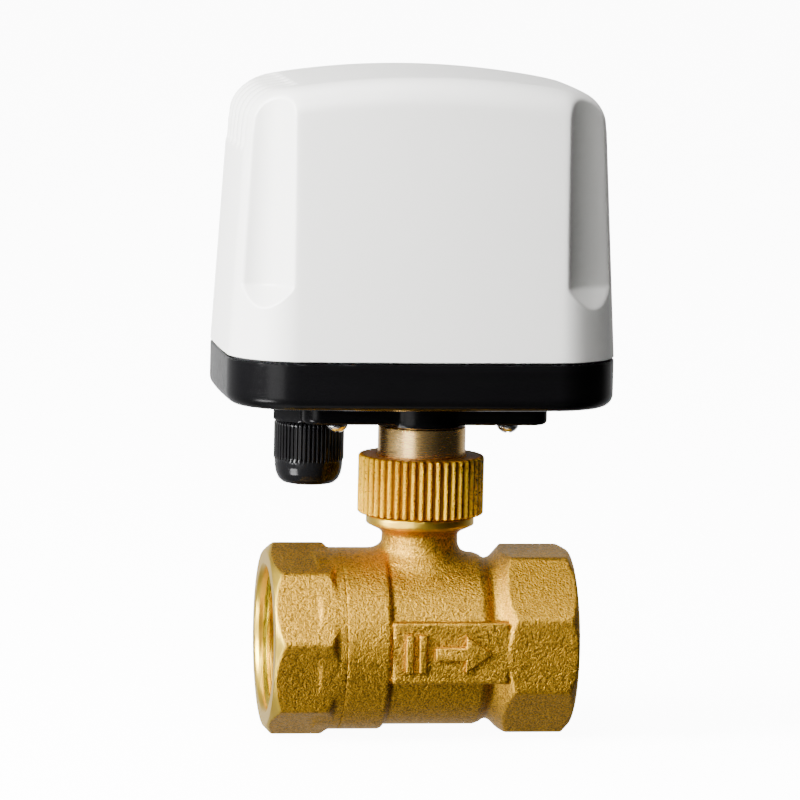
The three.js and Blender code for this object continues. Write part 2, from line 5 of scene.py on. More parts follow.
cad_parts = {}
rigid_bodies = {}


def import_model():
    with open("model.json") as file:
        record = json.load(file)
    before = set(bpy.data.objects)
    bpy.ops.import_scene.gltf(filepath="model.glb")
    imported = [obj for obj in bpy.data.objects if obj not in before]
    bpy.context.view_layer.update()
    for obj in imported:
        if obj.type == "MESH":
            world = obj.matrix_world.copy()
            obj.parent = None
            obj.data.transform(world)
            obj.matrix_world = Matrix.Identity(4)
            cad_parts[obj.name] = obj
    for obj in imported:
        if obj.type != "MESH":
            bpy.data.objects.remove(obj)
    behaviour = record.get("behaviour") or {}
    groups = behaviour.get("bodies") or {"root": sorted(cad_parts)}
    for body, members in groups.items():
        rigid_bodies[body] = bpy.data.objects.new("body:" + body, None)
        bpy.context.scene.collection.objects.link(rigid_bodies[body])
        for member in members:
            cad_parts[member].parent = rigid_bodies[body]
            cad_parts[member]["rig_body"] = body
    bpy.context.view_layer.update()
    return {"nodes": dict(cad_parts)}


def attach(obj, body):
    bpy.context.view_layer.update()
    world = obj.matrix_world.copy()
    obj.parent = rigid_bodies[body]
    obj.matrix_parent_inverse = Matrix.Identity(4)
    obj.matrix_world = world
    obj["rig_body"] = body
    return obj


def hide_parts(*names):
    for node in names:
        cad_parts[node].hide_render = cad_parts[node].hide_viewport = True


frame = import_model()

scene = bpy.context.scene
S = 0.001
D2R = math.pi / 180
BODY_OF = {n: o["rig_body"] for n, o in frame["nodes"].items()}

# ------------------------------------------------------------------ mesh helpers
def make(name, V, F, mat, body=None, stands=(), slot=None, smooth=True, angle=38, mats=None, index=None):
    me = bpy.data.meshes.new(name)
    me.from_pydata((np.asarray(V, float) * S).tolist(), [], [tuple(int(i) for i in f) for f in F])
    me.update()
    o = bpy.data.objects.new(name, me)
    scene.collection.objects.link(o)
    for m in (mats or [mat]):
        me.materials.append(m)
    if index is not None:
        me.polygons.foreach_set("material_index", np.asarray(index, np.int32))
    if smooth:
        me.polygons.foreach_set("use_smooth", [True] * len(me.polygons))
        try:
            me.set_sharp_from_angle(angle=angle * D2R)
        except Exception:
            pass
    if body:
        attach(o, body)
    for n in stands:
        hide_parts(n)
    return o


def grid_faces(nu, nv, wrap_u=True, wrap_v=False, flip=False):
    """quads over an nv x nu grid of points, index v*nu+u"""
    F = []
    U = nu if wrap_u else nu - 1
    Vn = nv if wrap_v else nv - 1
    u = np.arange(U); v = np.arange(Vn)
    uu, vv = np.meshgrid(u, v)
    a = vv * nu + uu
    b = vv * nu + (uu + 1) % nu
    c = ((vv + 1) % nv) * nu + (uu + 1) % nu
    d = ((vv + 1) % nv) * nu + uu
    q = np.stack([a, b, c, d] if not flip else [a, d, c, b], -1).reshape(-1, 4)
    return q


def fine_profile(pts, step=0.5, closed=False):
    out = []
    n = len(pts)
    for i in range(n if closed else n - 1):
        a, b = np.array(pts[i], float), np.array(pts[(i + 1) % n], float)
        m = max(1, int(math.ceil(np.linalg.norm(b - a) / step)))
        for k in range(m):
            out.append(a + (b - a) * k / m)
    if not closed:
        out.append(np.array(pts[-1], float))
    return np.array(out)


def round_profile(pts, radii, n=5, closed=False):
    """replace each listed corner of a 2-D polyline by a tangent arc"""
    out = []
    m = len(pts)
    for i, p in enumerate(pts):
        r = radii.get(i, 0) if isinstance(radii, dict) else radii
        if r <= 0 or (not closed and i in (0, m - 1)):
            out.append(p); continue
        p = np.array(p, float); a = np.array(pts[i - 1], float) - p; b = np.array(pts[(i + 1) % m], float) - p
        la, lb = np.linalg.norm(a), np.linalg.norm(b)
        a, b = a / la, b / lb
        ang = math.acos(max(-1, min(1, float(a @ b))))
        if ang > 3.1:
            out.append(p); continue
        t = min(r / math.tan(ang / 2), la * .45, lb * .45)
        rr = t * math.tan(ang / 2)
        c = p + (a + b) / np.linalg.norm(a + b) * rr / math.sin(ang / 2)
        s, e = p + a * t - c, p + b * t - c
        a0 = math.atan2(s[1], s[0]); a1 = math.atan2(e[1], e[0])
        da = (a1 - a0 + math.pi) % (2 * math.pi) - math.pi
        for k in range(n + 1):
            th = a0 + da * k / n
            out.append((c[0] + rr * math.cos(th), c[1] + rr * math.sin(th)))
    return out


def lathe(name, prof, seg, mat, mod=None, axis="z", at=(0, 0), closed=False, phase=0.0, **kw):
    """revolve (r, h) profile. mod(theta array, r, h) returns the radius array for that ring."""
    prof = [tuple(map(float, p)) for p in prof]
    th = phase + 2 * math.pi * np.arange(seg) / seg
    V, rings = [], []
    F = []
    idx = 0
    ids = []
    for r, h in prof:
        if not closed and r < 1e-6:
            V.append((0, 0, h)); ids.append(idx); idx += 1
        else:
            rr = mod(th, r, h) if mod else np.full(seg, r)
            V += list(zip(rr * np.cos(th), rr * np.sin(th), np.full(seg, h)))
            ids.append((idx, idx + seg)); idx += seg
    m = len(prof)
    for i in range(m if closed else m - 1):
        a, b = ids[i], ids[(i + 1) % m]
        for k in range(seg):
            k2 = (k + 1) % seg
            if isinstance(a, int) and isinstance(b, int):
                continue
            if isinstance(a, int):
                F.append((a, b[0] + k2, b[0] + k))
            elif isinstance(b, int):
                F.append((a[0] + k, a[0] + k2, b))
            else:
                F.append((a[0] + k, a[0] + k2, b[0] + k2, b[0] + k))
    V = np.array(V, float)
    if axis == "x":
        V = V[:, [2, 1, 0]] * np.array([1, 1, -1])
        V = np.stack([V[:, 0], V[:, 1], V[:, 2]], -1)
    V[:, 0] += at[0] if axis == "z" else 0
    V[:, 1] += at[1] if axis == "z" else 0
    return outward(name, V, F, mat, **kw)


def volume(V, F):
    v = 0.0
    for f in F:
        a = V[f[0]]
        for k in range(1, len(f) - 1):
            v += np.dot(a, np.cross(V[f[k]], V[f[k + 1]]))
    return v


def outward(name, V, F, mat, **kw):
    V = np.asarray(V, float)
    T = []
    for f in F[:]:
        T.append(f)
    if fast_volume(V, T) < 0:
        T = [tuple(reversed(f)) for f in T]
    return make(name, V, T, mat, **kw)


def fast_volume(V, F):
    tri = []
    for f in F:
        for k in range(1, len(f) - 1):
            tri.append((f[0], f[k], f[k + 1]))
    t = np.array(tri)
    return float((V[t[:, 0]] * np.cross(V[t[:, 1]], V[t[:, 2]])).sum())


# ------------------------------------------------------------------ signed-distance solids
def smin(a, b, k):
    h = np.clip(0.5 + 0.5 * (b - a) / k, 0, 1)
    return b + (a - b) * h - k * h * (1 - h)


def smax(a, b, k):
    return -smin(-a, -b, k)


def poly2(px, py, pts):
    """signed distance to a closed 2-D polygon"""
    pts = [tuple(map(float, p)) for p in pts]
    d = np.full(px.shape, 1e9, np.float32)
    inside = np.zeros(px.shape, bool)
    n = len(pts)
    for i in range(n):
        ax, ay = pts[i]; bx, by = pts[(i + 1) % n]
        ex, ey = bx - ax, by - ay
        wx, wy = px - ax, py - ay
        t = np.clip((wx * ex + wy * ey) / (ex * ex + ey * ey + 1e-12), 0, 1)
        dx, dy = wx - ex * t, wy - ey * t
        d = np.minimum(d, dx * dx + dy * dy)
        c = (ay > py) != (by > py)
        if ey != 0:
            inside ^= c & (px < ex * (py - ay) / ey + ax)
    d = np.sqrt(d)
    return np.where(inside, -d, d)


def nets(f, lo, hi, h):
    """surface nets over f < 0, then pulled onto f = 0"""
    n = [int(math.ceil((hi[k] - lo[k]) / h)) + 1 for k in range(3)]
    ax = [lo[k] + h * np.arange(n[k]) for k in range(3)]
    D = np.empty(n, np.float32)
    step = max(1, int(400000 / (n[1] * n[2])))
    for i in range(0, n[0], step):
        X, Y, Z = np.meshgrid(ax[0][i:i + step], ax[1], ax[2], indexing="ij")
        D[i:i + step] = f(X, Y, Z)
    D[np.abs(D) < 1e-6] = 1e-6
    s = D < 0
    cnt = np.zeros([k - 1 for k in n], np.int8)
    for dx in (0, 1):
        for dy in (0, 1):
            for dz in (0, 1):
                cnt += s[dx:n[0] - 1 + dx, dy:n[1] - 1 + dy, dz:n[2] - 1 + dz]
    act = (cnt > 0) & (cnt < 8)
    idx = np.full(act.shape, -1, np.int64)
    cells = np.argwhere(act)
    idx[act] = np.arange(len(cells))
    acc = np.zeros((len(cells), 3)); num = np.zeros(len(cells))
    for a in range(3):
        e = np.eye(3, dtype=int)[a]
        o1, o2 = [np.eye(3, dtype=int)[k] for k in range(3) if k != a]
        for p in (0, 1):
            for q in (0, 1):
                c0 = cells + o1 * p + o2 * q
                c1 = c0 + e
                d0 = D[c0[:, 0], c0[:, 1], c0[:, 2]]; d1 = D[c1[:, 0], c1[:, 1], c1[:, 2]]
                m = (d0 < 0) != (d1 < 0)
                t = np.where(m, d0 / np.where(m, d0 - d1, 1), 0)
                pos = c0 + e[None] * t[:, None]
                acc[m] += pos[m]; num[m] += 1
    V = np.array(lo) + h * acc / num[:, None]
    quads = []
    for a in range(3):
        e = np.eye(3, dtype=int)[a]
        b, c = [k for k in range(3) if k != a]
        if a == 1:
            b, c = c, b
        sl0 = [slice(None)] * 3; sl1 = [slice(None)] * 3
        sl0[a] = slice(0, n[a] - 1); sl1[a] = slice(1, n[a])
        m = s[tuple(sl0)] != s[tuple(sl1)]
        P = np.argwhere(m)
        ok = (P[:, b] > 0) & (P[:, c] > 0) & (P[:, b] < n[b] - 1) & (P[:, c] < n[c] - 1)
        P = P[ok]
        eb = np.eye(3, dtype=int)[b]; ec = np.eye(3, dtype=int)[c]
        ids = []
        for k in (P - eb - ec, P - ec, P, P - eb):
            ids.append(idx[k[:, 0], k[:, 1], k[:, 2]])
        q = np.stack(ids, -1)
        flip = ~s[P[:, 0], P[:, 1], P[:, 2]]
        q[flip] = q[flip][:, ::-1]
        quads.append(q)
    Q = np.concatenate(quads)
    for it in range(4):
        g = np.empty_like(V); eps = 0.02
        f0 = f(V[:, 0], V[:, 1], V[:, 2])
        for k in range(3):
            P = V.copy(); P[:, k] += eps; f1 = f(P[:, 0], P[:, 1], P[:, 2]); P[:, k] -= 2 * eps; f2 = f(P[:, 0], P[:, 1], P[:, 2])
            g[:, k] = (f1 - f2) / (2 * eps)
        l = (g * g).sum(1)
        stepv = -(f0 / np.maximum(l, 0.25))[:, None] * g
        ln = np.linalg.norm(stepv, axis=1)
        stepv *= np.minimum(1, 0.3 * h / np.maximum(ln, 1e-9))[:, None]
        V = V + stepv
    return V, Q


# ------------------------------------------------------------------ materials
def new_mat(name):
    m = bpy.data.materials.new(name); m.use_nodes = True
    nt = m.node_tree; nt.nodes.clear()
    out = nt.nodes.new("ShaderNodeOutputMaterial"); b = nt.nodes.new("ShaderNodeBsdfPrincipled")
    nt.links.new(b.outputs[0], out.inputs[0])
    return m, nt, b


def N(nt, kind, **kw):
    n = nt.nodes.new(kind)
    for k, v in kw.items():
        if k.startswith("i_"):
            n.inputs[k[2:].replace("_", " ")].default_value = v
        else:
            setattr(n, k, v)
    return n


def coords(nt):
    return N(nt, "ShaderNodeTexCoord").outputs["Object"]


def noise(nt, co, scale, detail=2.0, rough=0.5):
    n = N(nt, "ShaderNodeTexNoise"); n.inputs["Scale"].default_value = scale
    n.inputs["Detail"].default_value = detail; n.inputs["Roughness"].default_value = rough
    nt.links.new(co, n.inputs["Vector"]); return n.outputs["Fac"]


def ramp(nt, fac, stops):
    r = N(nt, "ShaderNodeValToRGB"); e = r.color_ramp.elements
    while len(e) > 1:
        e.remove(e[-1])
    e[0].position = stops[0][0]; e[0].color = (*stops[0][1], 1)
    for p, c in stops[1:]:
        x = e.new(p); x.color = (*c, 1)
    nt.links.new(fac, r.inputs[0]); return r.outputs["Color"]


def fmap(nt, fac, a, b, c, d):
    m = N(nt, "ShaderNodeMapRange"); nt.links.new(fac, m.inputs["Value"])
    for k, v in zip(("From Min", "From Max", "To Min", "To Max"), (a, b, c, d)):
        m.inputs[k].default_value = v
    return m.outputs["Result"]


def math_(nt, op, a, b=None, c=None):
    m = N(nt, "ShaderNodeMath", operation=op)
    for i, v in enumerate((a, b, c)):
        if v is None:
            continue
        if isinstance(v, (int, float)):
            m.inputs[i].default_value = v
        else:
            nt.links.new(v, m.inputs[i])
    return m.outputs[0]


def bump(nt, height, dist, strength=1.0, normal=None):
    b = N(nt, "ShaderNodeBump"); b.inputs["Strength"].default_value = strength; b.inputs["Distance"].default_value = dist
    nt.links.new(height, b.inputs["Height"])
    if normal is not None:
        nt.links.new(normal, b.inputs["Normal"])
    return b.outputs["Normal"]


def mixc(nt, fac, a, b):
    m = N(nt, "ShaderNodeMix", data_type="RGBA")
    for s, v in ((m.inputs[0], fac), (m.inputs[6], a), (m.inputs[7], b)):
        if isinstance(v, (int, float)):
            s.default_value = v
        elif isinstance(v, tuple):
            s.default_value = (*v, 1)
        else:
            nt.links.new(v, s)
    return m.outputs[2]


def mixf(nt, fac, a, b):
    m = N(nt, "ShaderNodeMix", data_type="FLOAT")
    for s, v in ((m.inputs[0], fac), (m.inputs[2], a), (m.inputs[3], b)):
        if isinstance(v, (int, float)):
            s.default_value = v
        else:
            nt.links.new(v, s)
    return m.outputs[0]


def plastic(name, col, rough, grain=900, gdist=0.00002, var=0.04, spec=0.5, coat=0.0, blotch=60, rvar=0.06):
    m, nt, b = new_mat(name); co = coords(nt)
    n1 = noise(nt, co, blotch, 3); n2 = noise(nt, co, grain, 2)
    lo = tuple(c * (1 - var) for c in col); hi = tuple(min(1, c * (1 + var)) for c in col)
    nt.links.new(ramp(nt, n1, [(0.3, lo), (0.7, hi)]), b.inputs["Base Color"])
    nt.links.new(fmap(nt, n2, 0.3, 0.7, rough - rvar, rough + rvar), b.inputs["Roughness"])
    nt.links.new(bump(nt, n2, gdist), b.inputs["Normal"])
    b.inputs["Specular IOR Level"].default_value = spec
    if coat:
        b.inputs["Coat Weight"].default_value = coat; b.inputs["Coat Roughness"].default_value = 0.15
    return m


def metal(name, col, rough, grain=600, gdist=0.00002, var=0.08, brushed=None, rvar=0.06):
    m, nt, b = new_mat(name); co = coords(nt)
    n1 = noise(nt, co, 90, 3)
    v = co
    if brushed is not None:
        mp = N(nt, "ShaderNodeMapping"); mp.inputs["Scale"].default_value = brushed; nt.links.new(co, mp.inputs["Vector"]); v = mp.outputs[0]
    n2 = noise(nt, v, grain, 3)
    lo = tuple(c * (1 - var) for c in col); hi = tuple(min(1, c * (1 + var)) for c in col)
    nt.links.new(ramp(nt, n1, [(0.3, lo), (0.7, hi)]), b.inputs["Base Color"])
    nt.links.new(fmap(nt, n2, 0.3, 0.7, rough - rvar, rough + rvar), b.inputs["Roughness"])
    nt.links.new(bump(nt, n2, gdist), b.inputs["Normal"])
    b.inputs["Metallic"].default_value = 1.0
    return m


CAST = (0.50, 0.268, 0.020)
CAST_D = (0.20, 0.105, 0.012)
MACH = (0.80, 0.53, 0.05)


def brass_cast(name, masks):
    """sand-blasted forging; masks(nt, x, y, z) gives 0..1 where the surface is machined"""
    m, nt, b = new_mat(name); co = coords(nt)
    sep = N(nt, "ShaderNodeSeparateXYZ"); nt.links.new(co, sep.inputs[0])
    k = masks(nt, sep.outputs[0], sep.outputs[1], sep.outputs[2])
    g1 = noise(nt, co, 2300, 2, 0.7); g2 = noise(nt, co, 1100, 1); g3 = noise(nt, co, 70, 3)
    tone = ramp(nt, g3, [(0.25, tuple(0.86 * c for c in CAST)), (0.5, CAST), (0.8, tuple(1.1 * c for c in CAST))])
    glint = ramp(nt, g1, [(0.38, tuple(0.62 * c for c in CAST)), (0.5, CAST), (0.62, tuple(1.0 * min(1, 1.5 * c) for c in CAST))])
    col = mixc(nt, 0.65, tone, glint)
    pit = fmap(nt, g1, 0.32, 0.5, 1.0, 0.0)
    col = mixc(nt, math_(nt, "MULTIPLY", pit, 0.75), col, CAST_D)
    mcol = ramp(nt, g3, [(0.3, tuple(0.93 * c for c in MACH)), (0.7, MACH)])
    nt.links.new(mixc(nt, k, col, mcol), b.inputs["Base Color"])
    r = fmap(nt, g2, 0.3, 0.7, 0.36, 0.50)
    nt.links.new(mixf(nt, k, r, 0.33), b.inputs["Roughness"])
    h = math_(nt, "ADD", math_(nt, "MULTIPLY", g1, 0.8), math_(nt, "MULTIPLY", g2, 0.5))
    # turning marks on the machined parts
    rad = math_(nt, "SQRT", math_(nt, "ADD", math_(nt, "MULTIPLY", sep.outputs[1], sep.outputs[1]), math_(nt, "MULTIPLY", sep.outputs[2], sep.outputs[2])))
    tm = math_(nt, "SINE", math_(nt, "MULTIPLY", math_(nt, "ADD", rad, sep.outputs[0]), 18000.0))
    hh = mixf(nt, k, h, math_(nt, "MULTIPLY", tm, 0.05))
    nt.links.new(bump(nt, hh, 0.00030), b.inputs["Normal"])
    b.inputs["Metallic"].default_value = 1.0
    return m


def step_(nt, v, edge, width=0.00015):
    """1 where v > edge"""
    return fmap(nt, v, edge - width, edge + width, 0.0, 1.0)


def radial(nt, a, b):
    return math_(nt, "SQRT", math_(nt, "ADD", math_(nt, "MULTIPLY", a, a), math_(nt, "MULTIPLY", b, b)))


def end_chamfer(nt, x, r, face):
    """1 on the turned chamfer that runs from 20.2 mm radius at the end face"""
    d = math_(nt, "SUBTRACT", math_(nt, "MULTIPLY", math_(nt, "SUBTRACT", r, 0.0202), 0.958), math_(nt, "SUBTRACT", face, x))
    return step_(nt, d, -0.00022, 0.00012)


def cap_mask(nt, x, y, z):
    r = radial(nt, y, z)
    face = step_(nt, math_(nt, "MULTIPLY", x, -1.0), 0.0352)
    face = math_(nt, "MAXIMUM", face, end_chamfer(nt, math_(nt, "MULTIPLY", x, -1.0), r, 0.0355))
    bore = math_(nt, "SUBTRACT", 1.0, step_(nt, r, 0.0171))
    return math_(nt, "MAXIMUM", face, bore)


def body_mask(nt, x, y, z):
    r = radial(nt, y, z)
    face = step_(nt, x, 0.0342)
    bore = math_(nt, "SUBTRACT", 1.0, step_(nt, r, 0.0171))
    rn = radial(nt, x, y)
    neck = math_(nt, "MULTIPLY", step_(nt, z, 0.0262), step_(nt, rn, 0.0060, 0.0001))
    return math_(nt, "MAXIMUM", math_(nt, "MAXIMUM", face, bore), neck)


def knurled_brass_painted_shade():
    """orange-gold brass on the knurl crests and in the bore, with painted shade: a dark brown base colour between the
    knurls and on the top face, where the metal is also rougher
    """
    m, nt, b = new_mat("brass_knurled_painted_shade"); co = coords(nt)
    sep = N(nt, "ShaderNodeSeparateXYZ"); nt.links.new(co, sep.inputs[0])
    rr = radial(nt, sep.outputs[0], sep.outputs[1])
    g1 = noise(nt, co, 2300, 3, 0.75); g2 = noise(nt, co, 130, 2)
    crest = fmap(nt, rr, 0.01375, 0.01425, 0.0, 1.0)
    inner = fmap(nt, rr, 0.0129, 0.0131, 1.0, 0.0)
    # k is 1 on the crests and in the bore, 0 in the knurl valleys and above z 42.4 mm; the 0 places get the painted
    # shade
    k = math_(nt, "MULTIPLY", math_(nt, "MAXIMUM", crest, inner), fmap(nt, sep.outputs[2], 0.0423, 0.0425, 1.0, 0.0))
    hi = ramp(nt, g2, [(0.3, (0.95, 0.52, 0.004)), (0.7, (1.0, 0.61, 0.007))])
    hi = mixc(nt, fmap(nt, g1, 0.38, 0.5, 0.65, 0.0), hi, (0.52, 0.23, 0.004))
    # lo: painted shade, a dark brown base colour standing in for the shadow in the knurl valleys and on the top face
    lo = ramp(nt, g1, [(0.3, (0.17, 0.062, 0.002)), (0.7, (0.34, 0.135, 0.004))])
    nt.links.new(mixc(nt, k, lo, hi), b.inputs["Base Color"])
    nt.links.new(mixf(nt, k, fmap(nt, g1, 0.3, 0.7, 0.5, 0.62), fmap(nt, g1, 0.3, 0.7, 0.24, 0.36)), b.inputs["Roughness"])
    nt.links.new(bump(nt, g1, 0.00045), b.inputs["Normal"])
    b.inputs["Metallic"].default_value = 1.0
    return m


M_CAP = brass_cast("brass_forged_cap", cap_mask)
M_BODY = brass_cast("brass_forged_body", body_mask)
M_NUT_PAINTED_SHADE = knurled_brass_painted_shade()
M_TURN = metal("brass_turned", (0.92, 0.60, 0.225), 0.28, grain=420, gdist=0.000005, var=0.05, brushed=(1, 1, 14), rvar=0.05)
M_THREAD = metal("brass_thread", (0.72, 0.50, 0.018), 0.28, grain=300, gdist=0.00001, brushed=(14, 1, 1))
M_STEEL = metal("steel_zinc", (0.86, 0.87, 0.88), 0.22, grain=900, gdist=0.00001)
M_PLATE = metal("steel_plate", (0.55, 0.56, 0.58), 0.34, grain=200, gdist=0.00001, brushed=(30, 1, 1))
M_BALL = metal("chrome_ball", (0.82, 0.82, 0.84), 0.07, grain=120, gdist=0.000004, var=0.02, rvar=0.02)
M_BLACK = plastic("black_moulded", (0.0024, 0.0024, 0.0027), 0.24, grain=900, gdist=0.000003, var=0.12, rvar=0.025, spec=0.125)
M_GLAND = plastic("black_gland", (0.0050, 0.0050, 0.0054), 0.17, grain=1500, gdist=0.000006, var=0.1, rvar=0.05, spec=0.15)
M_WHITE = plastic("white_moulded", (0.80, 0.795, 0.768), 0.33, grain=1100, gdist=0.000006, var=0.008, rvar=0.03)
M_RUBBER = plastic("rubber", (0.02, 0.02, 0.021), 0.7, grain=900, gdist=0.00003)
M_PTFE = plastic("fluoropolymer", (0.86, 0.86, 0.84), 0.45, grain=500, gdist=0.00001, var=0.02)

CARRY_MAT = {"ball": M_BALL, "valve_stem": M_TURN, "intermediate_gear": M_TURN,
             "stem_oring_lower": M_RUBBER, "stem_oring_upper": M_RUBBER, "cover_gasket": M_RUBBER, "gland_seal": M_RUBBER,
             "seat_ring_inlet": M_PTFE, "seat_ring_outlet": M_PTFE, "stem_thrust_washer": M_PTFE,
             "gland_locknut": M_GLAND, "gear_plate_lower": M_PLATE, "gear_plate_upper": M_PLATE, "switch_bracket": M_PLATE,
             "cam_open": plastic("cam_red", (0.62, 0.07, 0.03), 0.42, grain=700, gdist=0.00001),
             "cam_closed": plastic("cam_blue", (0.04, 0.12, 0.55), 0.42, grain=700, gdist=0.00001),
             "relay": plastic("relay_case", (0.03, 0.12, 0.42), 0.3, grain=600, gdist=0.00001),
             "motor_capacitor": plastic("capacitor_sleeve", (0.05, 0.055, 0.06), 0.35, grain=500, gdist=0.00001),
             "terminal_block": plastic("terminal_green", (0.03, 0.26, 0.08), 0.4, grain=800, gdist=0.00001),
             "limit_switch_open": plastic("switch_case", (0.02, 0.022, 0.025), 0.45, grain=900, gdist=0.00002),
             "switch_plunger_open": plastic("plunger", (0.75, 0.72, 0.62), 0.4, grain=900, gdist=0.00001)}

# ------------------------------------------------------------------ shared dimensions (mm)
HC = (-2.6, 2.5); HX, HY, HBX, HBY, HR = 43.6, 29.2, 1.0, 1.8, 14.0
SEAM, BASE0, DRAFT = 66.5, 55.7, math.tan(3.2 * D2R)
TOPZ, TOPR = 130.5, 190.0
FL_R, FL_D, FL_A, LEDGE = 11.5, 20.6, 38 * D2R, 83.3
GL = (-24.8, 9.0)
FLUTES = [(-1, -1), (1, -1), (-1, 1), (1, 1)]


def corner_pt(sx, sy, d):
    return (HC[0] + sx * (HX - HR) + sx * d * math.sin(FL_A), HC[1] + sy * (HY + HBY * 0.3 - HR) + sy * d * math.cos(FL_A))


def outline(d, nc, nx, ny):
    """plan outline inset by d: points and outward normals"""
    hx, hy, R = HX - d, HY - d, max(HR - d, 2)
    pts = []
    cs = [(hx - R, -(hy - R), -90, ny), (hx - R, hy - R, 0, nx), (-(hx - R), hy - R, 90, ny), (-(hx - R), -(hy - R), 180, nx)]
    for i, (cx, cy, a0, nw) in enumerate(cs):
        for k in range(nc + 1):
            a = (a0 + 90 * k / nc) * D2R
            pts.append((cx + R * math.cos(a), cy + R * math.sin(a)))
        q = cs[(i + 1) % 4]; a = (a0 + 90) * D2R
        p0 = (cx + R * math.cos(a), cy + R * math.sin(a)); p1 = (q[0] + R * math.cos(a), q[1] + R * math.sin(a))
        nw = [ny, nx, ny, nx][i]
        for k in range(1, nw):
            pts.append((p0[0] + (p1[0] - p0[0]) * k / nw, p0[1] + (p1[1] - p0[1]) * k / nw))
    P = np.array(pts)
    u = np.minimum(np.abs(P[:, 0]) / hx, 1); v = np.minimum(np.abs(P[:, 1]) / hy, 1)
    Q = np.stack([HC[0] + P[:, 0] * (1 + HBX / hx * (1 - v * v)), HC[1] + P[:, 1] * (1 + HBY / hy * (1 - u * u))], -1)
    T = np.roll(Q, -1, 0) - np.roll(Q, 1, 0)
    T /= np.linalg.norm(T, axis=1)[:, None]
    return Q, np.stack([T[:, 1], -T[:, 0]], -1)


def flute_r(z):
    """radius of the flute cutter at height z, 0 below its rounded end"""
    pr = [(LEDGE - 5.4, 0.0), (LEDGE - 5.3, 6.0), (LEDGE - 5.0, 6.7), (LEDGE - 3.6, 8.15), (LEDGE - 1.3, 10.2), (LEDGE - 0.35, 11.0), (LEDGE + 0.1, 11.25), (LEDGE + 0.5, 11.32), (126.0, 12.3)]
    return np.interp(z, [p[0] for p in pr], [p[1] for p in pr], left=0.0, right=12.3)


def archz(x):
    return TOPZ - (x - HC[0]) ** 2 / (2 * TOPR)


def fluted(Q, Nn, Z, grow=0.0, k=0.30):
    """move ring points inwards onto the flutes"""
    Q = Q.copy()
    for sx, sy in FLUTES:
        c = np.array(corner_pt(sx, sy, FL_D))
        R = flute_r(Z) + grow
        w = Q - c
        b = (w * -Nn).sum(1)
        cc = (w * w).sum(1) - R * R
        disc = b * b - cc
        t = np.where(disc > 0, -b + np.sqrt(np.maximum(disc, 0)), -9.0)
        near = (w * w).sum(1) < (R + 3) ** 2
        t = np.where(near & (R > 0.5), t, -9.0)
        t = np.where(np.abs(t) > 12, -9.0, t)
        h = np.clip(0.5 + 0.5 * t / k, 0, 1)
        d = t * h + k * h * (1 - h)
        d = np.where(t <= -k, 0, d)
        Q -= Nn * d[:, None]
    return Q


